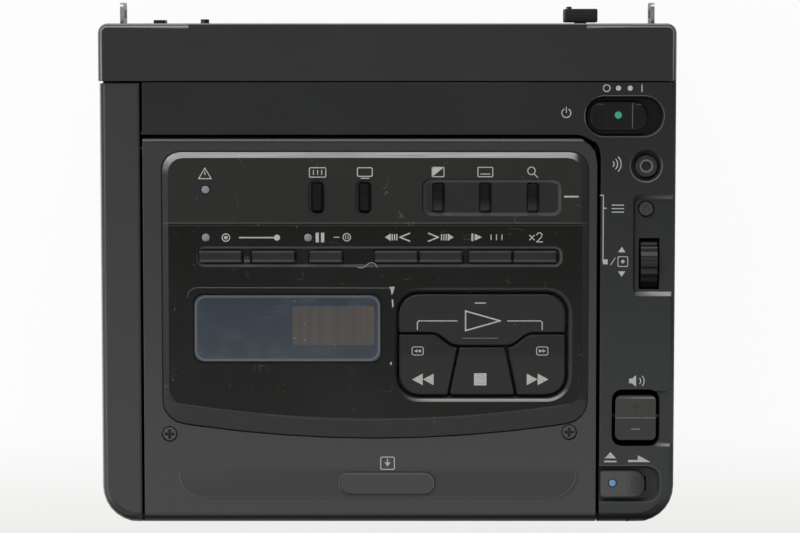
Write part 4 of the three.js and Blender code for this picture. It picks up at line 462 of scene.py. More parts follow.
def panelMaterial():
    look, ring = panelLook, clusterRing
    paint = Paint("lidPanel", 0.2, specular=0.22)
    x, y, z = (paint.axis(name) for name in "XYZ")
    matte = y > look["split"]
    slope = z < look["top"]
    fromSplit = y - look["split"]
    ridges = (abs(fromSplit - 0.24) < 0.16).larger((abs(fromSplit + 0.45) < 0.1) * 0.5)
    smear = paint.noise(1.0, 3.0, paint.stretched((55.0, 210.0, 1.0), 24.0))
    hair = paint.hairs(260.0, 0.004, 0.34).larger(paint.scratches(-52.0, 4.0, 0.09, 0.2) * 0.6)
    specks = paint.dust(4.6, 0.16, 0.2).larger(paint.dust(1.9, 0.09, 0.18) * 0.8)
    fromMiddle = x - look["bowMiddle"]
    bow = (y - look["bowFront"]) < fromMiddle * fromMiddle * look["bend"]
    # painted light: the bowed front band is lighter
    base = paint.mix(bow, paint.mix(matte, look["gloss"], look["matte"]), look["front"])
    # streaks in the painted reflection on the rear slope
    sheenStreaks = paint.noise(1.0, 2.0, paint.stretched((45.0, 2600.0, 2600.0)))
    rear = paint.mix(sheenStreaks, look["rearDark"], look["rear"])
    lit = y.ease(*look["rearFrom"]) * (1.0 - x.ease(*look["rearTo"]))
    # painted light: the front slopes are lighter than the other slopes
    sides = paint.mix(y < look["frontEnd"], look["slope"], look["front"])
    sided = paint.mix(slope, base, paint.mix(lit, sides, rear))
    for place in panelDishes:
        border = paint.outside(place["centre"], place["half"], place["radius"])
        sided = paint.mix((border < 0.0) * slope, sided, place["floor"])
        band = abs(border + place["wide"] + place["inset"]) < place["wide"]
        band = band * x.ease(place["from"], place["from"] + place["rise"])
        sided = paint.mix(band * (0.6 + smear * 0.5), sided, place["rim"])
    shine = paint.mix(y.ease(*ring["fade"]), ring["bright"], ring["dim"])
    ringed = (abs(border - ring["at"]) < ring["width"]) * x.ease(*ring["rise"])
    sided = paint.mix(ringed, sided, shine)
    wearAndPaintedLight = paint.mix(paint.noise(35.0, 3.0).ease(0.45, 0.8) * 0.2, sided, look["rubbed"])
    lined = paint.mix(ridges * 0.7, wearAndPaintedLight, look["ridge"])
    marked = paint.mix((specks * 0.55).larger(hair * 0.3), lined, look["dust"])
    paint.set("Base Color", marked)
    paint.set("Roughness", 0.17 + matte.larger(slope) * 0.25 + smear * 0.08 + hair * 0.2 + specks * 0.3)
    paint.bump(paint.noise(900.0, 2.0), 0.08, 0.01)
    return paint.material


# a key: painted highlight lines run across it at given places, and painted light may make it lighter
# toward its front
def keyMaterial(name, dark, light, roughness, wearAndPaintedLight=(), front=None, shine=0.5):
    paint = Paint(name, roughness, specular=shine)
    smear = paint.noise(1.0, 3.0, paint.stretched((120.0, 420.0, 1.0), 12.0))
    specks = paint.dust(3.0, 0.14, 0.1)
    tone = paint.mix(smear.ease(0.3, 0.7), dark, light)
    if front:
        near, far, color = front
        tone = paint.mix(paint.axis("Y").ease(near, far), color, tone)
    for edge, reach, color in wearAndPaintedLight:
        tone = paint.mix((abs(paint.axis("Y") - edge) < reach) * 0.8, tone, color)
    paint.set("Base Color", paint.mix(specks * 0.5, tone, "8e908c"))
    paint.set("Roughness", roughness - 0.06 + smear * 0.16 + specks * 0.2)
    paint.bump(paint.noise(2400.0, 2.0), 0.1, 0.01)
    return paint.material


# the display: a blue-grey window with a pale line inside its edge and an unlit grey screen
displayLook = {
    "centre": (-25.7, -16.42), "half": (23.5, 8.15), "radius": 2.5, "line": 0.6,
    "dark": "26323d", "light": "2c3945", "veil": "5a6670", "rim": "191b1d", "edge": "5b6067",
    "dust": "a4a8a8",
}
screenLook = {
    "centre": (-13.88, -15.76), "half": (10.6, 5.0), "radius": 0.8, "dark": "474340", "light": "5b5652",
    "blush": "6b4a40", "right": (-8.0, -2.5), "rear": (-15.0, -11.0), "bars": (620.0, 14.0, 1.0),
}


def displayMaterial():
    look, inner = displayLook, screenLook
    paint = Paint("displayWindow", 0.1)
    border = paint.outside(look["centre"], look["half"], look["radius"])
    line = abs(border) < look["line"] * 0.5
    screen = paint.outside(inner["centre"], inner["half"], inner["radius"]) < 0.0
    bars = paint.noise(1.0, 1.0, paint.stretched(inner["bars"]))
    grain = paint.scratches(4.0, 6.0, 0.12, 0.4)
    cloud = paint.noise(60.0, 2.0)
    veil = paint.scratches(3.0, 9.0, 0.1, 0.46) * 0.35
    field = paint.mix(veil, paint.mix(cloud, look["dark"], look["light"]), look["veil"])
    rim = paint.mix(border < 0.0, look["rim"], field)
    lined = paint.mix(line, rim, look["edge"])
    glass = paint.mix(bars.ease(0.3, 0.75) * 0.35 + grain * 0.3, inner["dark"], inner["light"])
    blush = paint.axis("X").ease(*inner["right"]) * paint.axis("Y").ease(*inner["rear"]) * 0.6
    full = paint.mix(screen, lined, paint.mix(blush, glass, inner["blush"]))
    specks = paint.dust(2.6, 0.16, 0.2)
    paint.set("Base Color", paint.mix(specks * 0.6, full, look["dust"]))
    paint.set("Roughness", 0.1 + specks * 0.4 + screen * 0.12)
    paint.set("Coat Weight", 0.4 + cloud * 0.2)
    return paint.material


def screenMaterial():
    paint = Paint("screenModule", 0.3)
    bars = paint.noise(1.0, 1.0, paint.stretched(screenLook["bars"]))
    paint.set("Base Color", paint.mix(bars, "443e3a", "625a54"))
    return paint.material


def boardMaterial():
    paint = Paint("circuitBoard", 0.45)
    values = {"Vector": paint.place, "Scale": 420.0}
    tracks = paint.node("ShaderNodeTexBrick", values=values, output="Fac")
    cloud = paint.noise(160.0, 2.0)
    paint.set("Base Color", paint.mix(tracks * 0.5, paint.mix(cloud, "163f2a", "1d4c34"), "5d7a3a"))
    paint.set("Roughness", 0.35 + cloud * 0.2)
    return paint.material


def spotMaterial(name, dark, light, roughness):
    paint = Paint(name, roughness)
    paint.set("Base Color", paint.mix(paint.noise(1500.0, 2.0), dark, light))
    return paint.material


# the round button has a hole in its middle painted black as shade, with a grey ring round it painted as a
# highlight
def linkMaterial():
    paint = Paint("linkPlastic", 0.34)
    border = paint.outside(linkLook["centre"], (linkLook["hole"],) * 2, linkLook["hole"])
    fine = paint.noise(5200.0, 2.0)
    ring = abs(border - linkLook["ringAt"]) < linkLook["ring"]
    face = paint.mix(ring, paint.mix(fine, "202121", "282929"), "6c6d6a")
    paint.set("Base Color", paint.mix(border < 0.0, face, "050505"))
    paint.set("Roughness", 0.3 + fine * 0.12)
    return paint.material


panelFinish = panelMaterial()
# painted highlights on the row keys' front chamfer and rear edge; painted light makes their fronts
# lighter
rowHighlights = ((0.78, 0.3, "5a5c59"), (3.2, 0.24, "3a3c3b"))
# the top keys' front ends are painted lighter, a painted highlight
shadedFront = (12.8, 17.5, "363736")
keyFinish = keyMaterial("rowKey", "0c0d0c", "141614", 0.3, rowHighlights, (0.9, 1.9, "282a28"))
darkKeyFinish = keyMaterial("slimKey", "050505", "0a0a0a", 0.26, shine=0.25)
shadedKeyFinish = keyMaterial("shadedKey", "060606", "0b0b0b", 0.26, front=shadedFront, shine=0.25)
clusterFinish = keyMaterial("transportKey", "131413", "191b19", 0.4)
# painted shade darkens the rear of the dished transport keys, which are lighter at the front
hollowKeyFinish = keyMaterial("hollowKey", "090a09", "0e0f0e", 0.4, front=(-24.4, -22.4, "191b19"))
displayFinish = displayMaterial()
screenFinish = screenMaterial()
boardFinish = boardMaterial()
linkFinish = linkMaterial()
lensFinish = spotMaterial("lampLens", "7f878d", "8f969d", 0.3)
tealDot = spotMaterial("tealDot", "2f9c86", "45bfa5", 0.35)
blueDot = spotMaterial("blueDot", "5f97c9", "7fb2dc", 0.35)
print("finishes mixed")


def madeObject(name, shape, material):
    mesh = bpy.data.meshes.new(name)
    shape.to_mesh(mesh)
    shape.free()
    mesh.materials.append(material)
    made = bpy.data.objects.new(name, mesh)
    bpy.context.scene.collection.objects.link(made)
    return made


def placePiece(name, shape, material, body, slot):
    piece = madeObject(name, shape, material)
    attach(piece, body)
    return piece


def isLevel(face):
    return abs(face.normal.z) > 0.9999


def isUpright(face):
    return abs(face.normal.z) < 0.001


# edges stay crisp above one angle, and above a smaller one where a level face meets a slope
def markCreases(shape, crease, rim):
    for face in shape.faces:
        face.smooth = True
    for edge in shape.edges:
        if len(edge.link_faces) != 2:
            continue
        angle = math.degrees(edge.calc_face_angle())
        levels = [isLevel(face) for face in edge.link_faces]
        edge.smooth = not (angle > crease or (angle > rim and levels[0] != levels[1]))


# the corners round a vertex that shade as one, walked across its smooth edges
def smoothFans(vertex):
    waiting = list(vertex.link_loops)
    while waiting:
        fan = [waiting.pop()]
        for corner in fan:
            sides = [e for e in (corner.edge, corner.link_loop_prev.edge) if e.smooth]
            joined = [c for c in waiting if c.edge in sides or c.link_loop_prev.edge in sides]
            waiting = [c for c in waiting if c not in joined]
            fan.extend(joined)
        yield fan


# flat faces keep their own light: a corner leans with the level faces near its own slope,
# or else with the upright ones
def shadeNormals(shape):
    shape.normal_update()
    leans = {}
    for vertex in shape.verts:
        for fan in smoothFans(vertex):
            for corner in fan:
                near = [c.face for c in fan if c.face.normal.dot(corner.face.normal) > 0.6]
                kept = [f for f in near if isLevel(f)] or [f for f in near if isUpright(f)] or near
                leans[corner] = sum((f.normal * f.calc_area() for f in kept), Vector()).normalized()
    return [leans[corner] for face in shape.faces for corner in face.loops]


# copies merge points this near and faces this level, and break convex edges sharper than this
copyLook = {"merge": 0.003, "level": 0.5, "sharp": 50.0}
softBevel = {"affect": "EDGES", "segments": 2, "profile": 0.5, "material": -1}


def breakEdges(shape, width):
    sharp = math.radians(copyLook["sharp"])
    rims = [
        e for e in shape.edges
        if len(e.link_faces) == 2 and e.is_convex and e.calc_face_angle() > sharp
    ]
    made = bmesh.ops.bevel(
        shape, geom=rims, offset=width * mm, offset_type="OFFSET", clamp_overlap=True, **softBevel
    )
    for face in made["faces"]:
        face.smooth = True
        for side in face.edges:
            side.smooth = True


# a merged copy of a solid, its outer edges broken and its curves shaded smooth
def dressedCopy(node, body, slot, material, edge=0.0, crease=27.0, rim=27.0):
    shape = bmesh.new()
    shape.from_mesh(nodes[node].data)
    bmesh.ops.remove_doubles(shape, verts=shape.verts, dist=copyLook["merge"] * mm)
    level = math.radians(copyLook["level"])
    bmesh.ops.dissolve_limit(shape, angle_limit=level, verts=shape.verts, edges=shape.edges)
    markCreases(shape, crease, rim)
    if edge > 0.0:
        breakEdges(shape, edge)
    normals = shadeNormals(shape)
    words = node.split("_")
    name = words[0] + "".join(w.capitalize() for w in words[1:])
    piece = placePiece(name, shape, material, body, slot)
    piece.data.normals_split_custom_set(normals)
    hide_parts(node)


# body, slot, finish and the width of the broken edges, then crease angles where they differ
dressing = {
    "lower_housing": ("case", "base", baseFinish, 0.2),
    "rear_cabinet": ("case", "shell", cabinetFinish, 0.12),
    "control_frame": ("case", "shell", shellFinish, 0.1),
    "jack_door": ("jack_door", "door", doorFinish, 0.1),
    "lid_frame": ("lid", "lid", lidFinish, 0.05),
    "lid_panel": ("lid", "panel", panelFinish, 0.06, 27.0, 8.0),
    "display_window": ("lid", "window", displayFinish),
    "battery_release": ("battery_release", "slider", releaseFinish, 0.15),
    "volume_rocker": ("volume_rocker", "slider", rockerFinish, 0.12, 7.0, 7.0),
    "power_slide": ("power_slide", "slider", powerFinish, 0.04),
    "eject_slide": ("eject_slide", "slider", ejectFinish, 0.04),
    "select_dial": ("select_dial", "dial", dialFinish, 0.06),
    "link_button": ("link_button", "slider", linkFinish),
    "menu_button": ("menu_button", "slider", menuFinish),
    "lid_screw_left": ("lid", "steel", screwFinish, 0.05),
    "lid_screw_right": ("lid", "steel", screwFinish, 0.05),
}
for node, values in dressing.items():
    dressedCopy(node, *values)

# each key rides a body of its own name
keyDressing = {
    darkKeyFinish: ("key", "data_key", "display_key"),
    shadedKeyFinish: ("key", "effect_key", "title_key", "zoom_key"),
    keyFinish: (
        "key", "record_left_key", "record_right_key", "pause_key", "reverse_frame_key",
        "forward_frame_key", "slow_key", "double_speed_key",
    ),
    clusterFinish: ("cluster_key", "play_key"),
    hollowKeyFinish: ("cluster_key", "stop_key", "rewind_key", "forward_key"),
}
for finish, (slot, *keys) in keyDressing.items():
    for node in keys:
        dressedCopy(node, node, slot, finish)

# the eject knob ends a touch short, so that it stops clear of its recess at full travel
ejectTrim = {"from": 65.0, "by": 0.12}
for vertex in bpy.data.objects["ejectSlide"].data.vertices:
    if vertex.co.x > ejectTrim["from"] * mm:
        vertex.co.x -= ejectTrim["by"] * mm
print("solids dressed")

carried = {
    rubberFinish: (
        "foot_front_left", "foot_front_right", "foot_rear_left", "foot_rear_right", "pinch_roller",
    ),
    contactFinish: ("battery_terminal",),
    jackAndSeamShadeFinish: (
        "dc_inlet", "jack_panel", "svideo_socket", "digital_socket", "av_socket", "phones_socket",
        "remote_socket",
    ),
    steelFinish: (
        "strap_lug_left", "strap_lug_right", "deck_chassis", "capstan_flywheel", "cassette_holder",
    ),
    blackSteelFinish: ("lid_hinge_rod",),
    drumFinish: ("lower_drum", "upper_drum"),
    reelFinish: ("supply_reel", "takeup_reel"),
    boardFinish: ("main_board",),
    screenFinish: ("display_module",),
    lensFinish: ("warning_lens", "record_lens", "pause_lens"),
}
for material, names in carried.items():
    for node in names:
        nodes[node].data.materials.clear()
        nodes[node].data.materials.append(material)
print("carried nodes painted")


# printed signs are drawn flat in millimetres, then given the thickness of ink;
# neighbouring strokes lie a little higher or lower, so that none share a face
inkLook = {"step": 0.004, "disc": 0.013, "thick": 0.03, "sides": 24, "corner": 4}


def drawPatch(shape, points):
    lift = len(shape.faces) % 3 * inkLook["step"] * mm
    corners = [shape.verts.new((x * mm, y * mm, lift)) for x, y in points]
    shape.faces.new(corners)


def drawDisc(shape, centre, radius):
    x, y = centre
    place = Matrix.Translation((x * mm, y * mm, inkLook["disc"] * mm))
    bmesh.ops.create_circle(
        shape, cap_ends=True, segments=inkLook["sides"], radius=radius * mm, matrix=place
    )


def drawLine(shape, points, width):
    for (x0, y0), (x1, y1) in zip(points, points[1:]):
        along = Vector((x1 - x0, y1 - y0))
        side = Vector((-along.y, along.x)).normalized() * width / 2
        reach = along.normalized() * width / 2
        drawPatch(shape, [
            (x0 - side.x - reach.x, y0 - side.y - reach.y),
            (x1 - side.x + reach.x, y1 - side.y + reach.y),
            (x1 + side.x + reach.x, y1 + side.y + reach.y),
            (x0 + side.x - reach.x, y0 + side.y - reach.y),
        ])


def drawLoop(shape, points, width):
    drawLine(shape, [*points, points[0]], width)


def drawRing(shape, centre, radius, width, start=0.0, turn=360.0):
    x, y = centre
    count = max(3, round(inkLook["sides"] * turn / 360.0))
    angles = [math.radians(start + turn * k / count) for k in range(count + 1)]
    drawLine(shape, [(x + radius * math.cos(a), y + radius * math.sin(a)) for a in angles], width)


# sound or radio waves: arcs round one centre that open to the right
def drawWaves(shape, centre, radii, width, turn):
    for radius in radii:
        drawRing(shape, centre, radius, width, -turn / 2, turn)


def drawArrow(shape, tip, tail, half):
    (x0, y0), (x1, y1) = tip, tail
    along = Vector((x1 - x0, y1 - y0)).normalized()
    side = Vector((-along.y, along.x)) * half
    drawPatch(shape, [(x0, y0), (x1 + side.x, y1 + side.y), (x1 - side.x, y1 - side.y)])


# arrows in a row, which point right for side 1 and left for side -1
def drawArrows(shape, places, y, side, tip, tail, half):
    for x in places:
        drawArrow(shape, (x + side * tip, y), (x - side * tail, y), half)


# a rectangle with round corners, drawn as a line
def drawFrame(shape, centre, half, radius, width):
    steps = inkLook["corner"]
    points = []
    for quarter, (sx, sy) in enumerate(((1, 1), (-1, 1), (-1, -1), (1, -1))):
        for k in range(steps + 1):
            angle = math.radians(90.0 * (quarter + k / steps))
            cx = centre[0] + sx * (half[0] - radius)
            cy = centre[1] + sy * (half[1] - radius)
            points.append((cx + radius * math.cos(angle), cy + radius * math.sin(angle)))
    drawLoop(shape, points, width)


def drawBars(shape, places, ends, width):
    low, high = ends
    for x in places:
        drawLine(shape, [(x, low), (x, high)], width)


def drawRows(shape, places, ends, width):
    left, right = ends
    for y in places:
        drawLine(shape, [(left, y), (right, y)], width)


def drawBlocks(shape, places, ends, half):
    low, high = ends
    for x in places:
        drawPatch(shape, [(x - half, low), (x + half, low), (x + half, high), (x - half, high)])


strokeKinds = {
    "patch": drawPatch, "disc": drawDisc, "line": drawLine, "loop": drawLoop, "ring": drawRing,
    "waves": drawWaves, "arrow": drawArrow, "arrows": drawArrows, "frame": drawFrame, "bars": drawBars,
    "rows": drawRows, "blocks": drawBlocks,
}


def drawStrokes(strokes):
    shape = bmesh.new()
    for kind, *values in strokes.values():
        strokeKinds[kind](shape, *values)
    return shape


# gives a flat drawing its thickness and returns the corners that rose
def thicken(shape, height):
    made = bmesh.ops.extrude_face_region(shape, geom=list(shape.faces))
    lifted = [v for v in made["geom"] if isinstance(v, bmesh.types.BMVert)]
    bmesh.ops.translate(shape, verts=lifted, vec=(0.0, 0.0, height * mm))
    bmesh.ops.recalc_face_normals(shape, faces=shape.faces)
    return lifted


def softenRim(shape, lifted, width):
    rim = [e for e in shape.edges if all(v in lifted for v in e.verts)]
    bmesh.ops.bevel(shape, geom=rim, offset=width * mm, **softBevel)


def printSigns(name, strokes, level, material, body, slot, thick=inkLook["thick"], turn=None):
    shape = drawStrokes(strokes)
    thicken(shape, thick)
    bmesh.ops.translate(shape, verts=shape.verts, vec=(0.0, 0.0, level * mm))
    if turn:
        bmesh.ops.transform(shape, verts=shape.verts, matrix=turn)
    placePiece(name, shape, material, body, slot)


panelTop = 58.0
lidTop = 57.2
clusterTop = 58.3
boldLine = 0.34
thinLine = 0.24
fineLine = 0.2

# signs beside the keys of the lid; from the triangle on, plain pictures stand where the words were
lidPanelSigns = {
    "recordBar": ("line", [(-37.9, 6.9), (-28.6, 6.9)], boldLine),
    "recordDot": ("disc", (-28.3, 6.9), 0.78),
    "pause": ("blocks", (-17.97, -16.6), (5.7, 8.15), 0.42),
    "reverseArrow": ("arrow", (-0.62, 7.0), (0.85, 7.0), 0.95),
    "reverseFrames": ("bars", (1.25, 1.85, 2.45), (6.35, 7.65), 0.3),
    "stepBack": ("line", [(5.7, 8.0), (3.25, 7.0), (5.7, 6.0)], boldLine),
    "stepForward": ("line", [(10.6, 8.0), (13.05, 7.0), (10.6, 6.0)], boldLine),
    "forwardFrames": ("bars", (13.9, 14.5, 15.1), (6.35, 7.65), 0.3),
    "forwardArrow": ("arrow", (17.0, 7.0), (15.5, 7.0), 0.95),
    "slowBar": ("bars", (21.8,), (6.3, 7.7), 0.5),
    "slowArrow": ("arrow", (24.3, 7.0), (22.4, 7.0), 0.85),
    "crossRise": ("line", [(36.5, 6.3), (37.7, 7.5)], thinLine),
    "crossFall": ("line", [(36.5, 7.5), (37.7, 6.3)], thinLine),
    "two": (
        "line",
        [(38.3, 7.6), (38.7, 8.1), (39.3, 8.1), (39.7, 7.6), (39.5, 7.0), (38.3, 5.8), (39.8, 5.8)],
        thinLine,
    ),
    "zoomDash": ("rows", (17.4,), (45.5, 48.8), 0.42),
    "triangle": ("loop", [(-48.3, 22.0), (-46.7, 24.7), (-45.1, 22.0)], thinLine),
    "triangleBar": ("bars", (-46.7,), (23.0, 23.7), thinLine),
    "dataFrame": ("frame", (-17.85, 23.6), (2.1, 1.2), 0.3, thinLine),
    "dataBars": ("bars", (-18.9, -17.85, -16.8), (23.1, 24.1), thinLine),
    "displayFrame": ("frame", (-5.76, 23.7), (1.9, 1.1), 0.4, thinLine),
    "displayFoot": ("rows", (22.1,), (-6.7, -4.8), thinLine),
    "effectFrame": ("frame", (13.0, 23.7), (1.5, 1.2), 0.2, thinLine),
    "effectHalf": ("patch", [(11.5, 22.5), (14.5, 24.9), (11.5, 24.9)]),
    "titleFrame": ("frame", (25.1, 23.7), (1.9, 1.2), 0.3, thinLine),
    "titleRow": ("rows", (23.2,), (24.0, 26.2), thinLine),
    "zoomGlass": ("ring", (36.9, 24.0), 0.95, thinLine),
    "zoomHandle": ("line", [(37.6, 23.2), (38.5, 22.3)], thinLine),
    "recordRing": ("ring", (-41.4, 6.9), 0.95, thinLine),
    "recordCore": ("disc", (-41.4, 6.9), 0.45),
    "pauseDash": ("rows", (7.0,), (-13.6, -12.4), thinLine),
    "pauseRing": ("ring", (-10.4, 7.0), 0.95, thinLine),
    "pauseBars": ("bars", (-10.7, -10.1), (6.6, 7.4), fineLine),
    "slowBars": ("bars", (26.6, 28.0, 29.4), (6.4, 7.6), thinLine),
}
caseSigns = {
    "powerDotLeft": ("disc", (59.1, 45.07), 0.66),
    "powerDotRight": ("disc", (62.1, 45.07), 0.66),
    "powerRing": ("ring", (56.1, 45.07), 0.85, thinLine),
    "powerBar": ("bars", (65.1,), (44.2, 45.95), thinLine),
    "standbyRing": ("ring", (45.8, 38.75), 1.15, thinLine, 125.0, 290.0),
    "standbyBar": ("bars", (45.8,), (38.9, 40.2), thinLine),
    "linkWaves": ("waves", (57.2, 25.7), (0.9, 1.8, 2.7), thinLine, 84.0),
    "menuBracket": ("line", [(54.6, 17.7), (55.4, 17.7), (55.4, 0.6)], thinLine),
    "menuBranch": ("rows", (14.4,), (55.4, 56.1), thinLine),
    "menuSquare": ("patch", [(55.4, 0.0), (56.6, 0.0), (56.6, 1.25), (55.4, 1.25)]),
    "menuRows": ("rows", (13.4, 14.3, 15.2), (57.7, 60.6), thinLine),
    "dialUp": ("arrow", (60.2, 4.5), (60.2, 3.1), 0.95),
    "dialDown": ("arrow", (60.2, -3.2), (60.2, -1.8), 0.95),
    "dialSlash": ("line", [(57.4, -0.1), (58.5, 1.6)], fineLine),
    "dialFrame": ("frame", (60.5, 0.7), (1.25, 1.25), 0.3, fineLine),
    "dialDot": ("disc", (60.5, 0.7), 0.45),
    "speaker": (
        "patch",
        [(62.3, -30.7), (63.0, -30.7), (64.1, -31.6), (64.1, -28.6), (63.0, -29.5), (62.3, -29.5)],
    ),
    "speakerWaves": ("waves", (64.3, -30.1), (1.0, 1.9), thinLine, 80.0),
    "ejectArrow": ("arrow", (57.6, -48.6), (57.6, -50.2), 1.5),
    "ejectBar": ("rows", (-51.0,), (56.2, 59.0), 0.4),
    "ejectPointer": (
        "patch", [(62.2, -51.15), (68.0, -51.15), (64.7, -49.4), (64.7, -50.6), (62.2, -50.6)],
    ),
}
lidFrameSigns = {
    "frame": ("frame", (0.03, -51.45), (1.75, 1.6), 0.4, 0.26),
    "arrow": ("arrow", (0.03, -52.3), (0.03, -51.2), 0.8),
    "stem": ("bars", (0.03,), (-51.2, -50.5), 0.3),
}
playSigns = {
    "triangle": ("loop", [(20.1, -11.95), (20.1, -17.0), (29.0, -14.48)], boldLine),
    "leftArm": ("line", [(7.72, -16.7), (7.72, -14.9), (8.1, -14.5), (17.9, -14.5)], 0.26),
    "rightArm": ("line", [(39.8, -16.7), (39.8, -14.9), (39.4, -14.5), (30.9, -14.5)], 0.26),
    "tick": ("rows", (-9.9,), (22.6, 25.2), 0.3),
}
# a thin grey line across the front of the play key
playGreyLine = {"row": ("rows", (-18.95,), (19.3, 28.4), 0.14)}
stopSigns = {"square": ("blocks", (23.9,), (-31.15, -28.0), 1.6)}


# both winding keys carry two large arrows and, in a frame, two small ones
def windSigns(side, x, iconX):
    y, iconY = -29.6, -22.25
    return {
        "arrows": ("arrows", (x - 1.4, x + 1.4), y, side, 1.4, 1.35, 1.5),
        "frame": ("frame", (iconX, iconY), (1.45, 1.05), 0.5, fineLine),
        "icon": ("arrows", (iconX - 0.45, iconX + 0.45), iconY, side, 0.45, 0.4, 0.45),
    }


printedSheets = {
    "lidPanelSigns": (lidPanelSigns, panelTop, whiteInk, "lid"),
    "caseSigns": (caseSigns, lidTop, whiteInk, "case"),
    "lidFrameSigns": (lidFrameSigns, lidTop + 0.06, whiteInk, "lid"),
    "playKeySigns": (playSigns, clusterTop, whiteInk, "play_key"),
    "playKeyLine": (playGreyLine, clusterTop, greyInkAndHighlight, "play_key"),
    "stopKeySigns": (stopSigns, clusterTop, whiteInk, "stop_key"),
    "rewindKeySigns": (windSigns(-1, 9.15, 7.8), clusterTop, whiteInk, "rewind_key"),
    "forwardKeySigns": (windSigns(1, 38.65, 39.85), clusterTop, whiteInk, "forward_key"),
}
for name, (strokes, level, ink, body) in printedSheets.items():
    printSigns(name, strokes, level, ink, body, "reel")


# plus and minus stand on the rocker's two slopes
rockerLook = {
    "x": 64.03, "fold": -39.65, "out": 2.9, "level": 57.73, "rise": 0.45, "run": 5.8, "half": 1.0,
    "line": 0.26,
}


def addRockerSigns():
    half, line = rockerLook["half"], rockerLook["line"]
    minus = {"across": ("rows", (0.0,), (-half, half), line)}
    plus = {**minus, "upright": ("bars", (0.0,), (-half, half), line)}
    slope = math.atan2(rockerLook["rise"], rockerLook["run"])
    sides = {"rockerPlus": (1, plus, dialFinish), "rockerMinus": (-1, minus, greyInkAndHighlight)}
    for name, (side, strokes, finish) in sides.items():
        y = rockerLook["fold"] + side * rockerLook["out"]
        place = Matrix.Translation((rockerLook["x"] * mm, y * mm, rockerLook["level"] * mm))
        turn = place @ Matrix.Rotation(side * slope, 4, "X")
        printSigns(name, strokes, 0.0, finish, "volume_rocker", "slider", turn=turn)


addRockerSigns()


# the switches' coloured dots and the dark rings of painted shade under them: centre, level, radius
dotLook = {"sides": 32, "height": 0.1, "soft": 0.06}
dots = {
    "powerDotShade": ((59.05, 38.21), 58.34, 1.22, dotShadeFinish, "power_slide"),
    "ejectDotShade": ((58.1, -56.5), 58.04, 1.15, dotShadeFinish, "eject_slide"),
    "powerDot": ((59.05, 38.21), 58.4, 0.92, tealDot, "power_slide"),
    "ejectDot": ((58.1, -56.5), 58.1, 0.88, blueDot, "eject_slide"),
}


# a disc with a softened rim
def markDot(name, centre, level, radius, material, body):
    x, y = centre
    shape = bmesh.new()
    bmesh.ops.create_circle(shape, cap_ends=True, segments=dotLook["sides"], radius=radius * mm)
    lifted = thicken(shape, dotLook["height"])
    softenRim(shape, lifted, dotLook["soft"])
    bmesh.ops.translate(shape, verts=shape.verts, vec=(x * mm, y * mm, level * mm))
    placePiece(name, shape, material, body, "slider")


for name, values in dots.items():
    markDot(name, *values)
print("signs and dots printed")


# thin dark blocks of painted shade close the seams, through which the floor would show: low and high
# corner
seamShades = {
    "rightSeam": ((72.2, 46.2, 2.0), (73.85, 47.3, 56.3)),
    "doorSeam": ((-73.1, 46.34, 44.0), (-63.3, 46.8, 52.0)),
    "rightGroove": ((54.22, -66.82, 30.0), (54.68, -64.6, 55.0)),
    "leftGroove": ((-63.35, -66.82, 9.6), (-62.95, -64.6, 55.0)),
    "frontSlit": ((61.9, -66.7, 47.0), (62.4, -66.3, 56.6)),
}


def boxShape(centre, size):
    shape = bmesh.new()
    place = Matrix.Translation([c * mm for c in centre])
    stretch = Matrix.Diagonal((*[s * mm for s in size], 1.0))
    bmesh.ops.create_cube(shape, size=1.0, matrix=place @ stretch)
    return shape


for name, (low, high) in seamShades.items():
    centre = [(a + b) / 2 for a, b in zip(low, high)]
    size = [b - a for a, b in zip(low, high)]
    placePiece(name, boxShape(centre, size), jackAndSeamShadeFinish, "case", "base")

# a painted highlight along the fold of the rocker
rockerCrease = {"row": ("rows", (rockerLook["fold"],), (58.9, 69.1), 0.14)}
printSigns("rockerCrease", rockerCrease, 57.49, greyInkAndHighlight, "volume_rocker", "slider")


# a thin lip of the case reaches over the gap behind the lid and thins out round its corner
hingeLip = {
    "left": -63.0, "low": 56.8, "high": 57.16, "rear": 34.15, "front": 33.2, "soft": 0.06,
    "corner": (48.7, 28.05), "radius": 6.1, "turn": 7.1, "points": 9,
    "inner": [(52.95, 31.35), (52.0, 31.9), (50.8, 32.6), (49.3, 33.1), (47.9, 33.2)],
}


def addHingeLip():
    shape = bmesh.new()
    left, radius = hingeLip["left"], hingeLip["radius"]
    cx, cy = hingeLip["corner"]
    angles = [math.radians(90.0 - hingeLip["turn"] * k) for k in range(hingeLip["points"])]
    outer = [(cx + radius * math.cos(a), cy + radius * math.sin(a)) for a in angles]
    points = [(left, hingeLip["rear"]), *outer, *hingeLip["inner"], (left, hingeLip["front"])]
    shape.faces.new([shape.verts.new((x * mm, y * mm, hingeLip["low"] * mm)) for x, y in points])
    lifted = thicken(shape, hingeLip["high"] - hingeLip["low"])
    softenRim(shape, lifted, hingeLip["soft"])
    placePiece("hingeLip", shape, shellFinish, "case", "shell")


addHingeLip()


# the thin bridge that stands in the track between the two record keys
recordBridge = {"centre": (-36.0, 1.25, 57.65), "size": (1.5, 1.5, 0.5), "soft": 0.12}


def addRecordBridge():
    shape = boxShape(recordBridge["centre"], recordBridge["size"])
    bmesh.ops.bevel(shape, geom=shape.edges[:], offset=recordBridge["soft"] * mm, **softBevel)
    placePiece("recordBridge", shape, keyFinish, "lid", "key")


addRecordBridge()


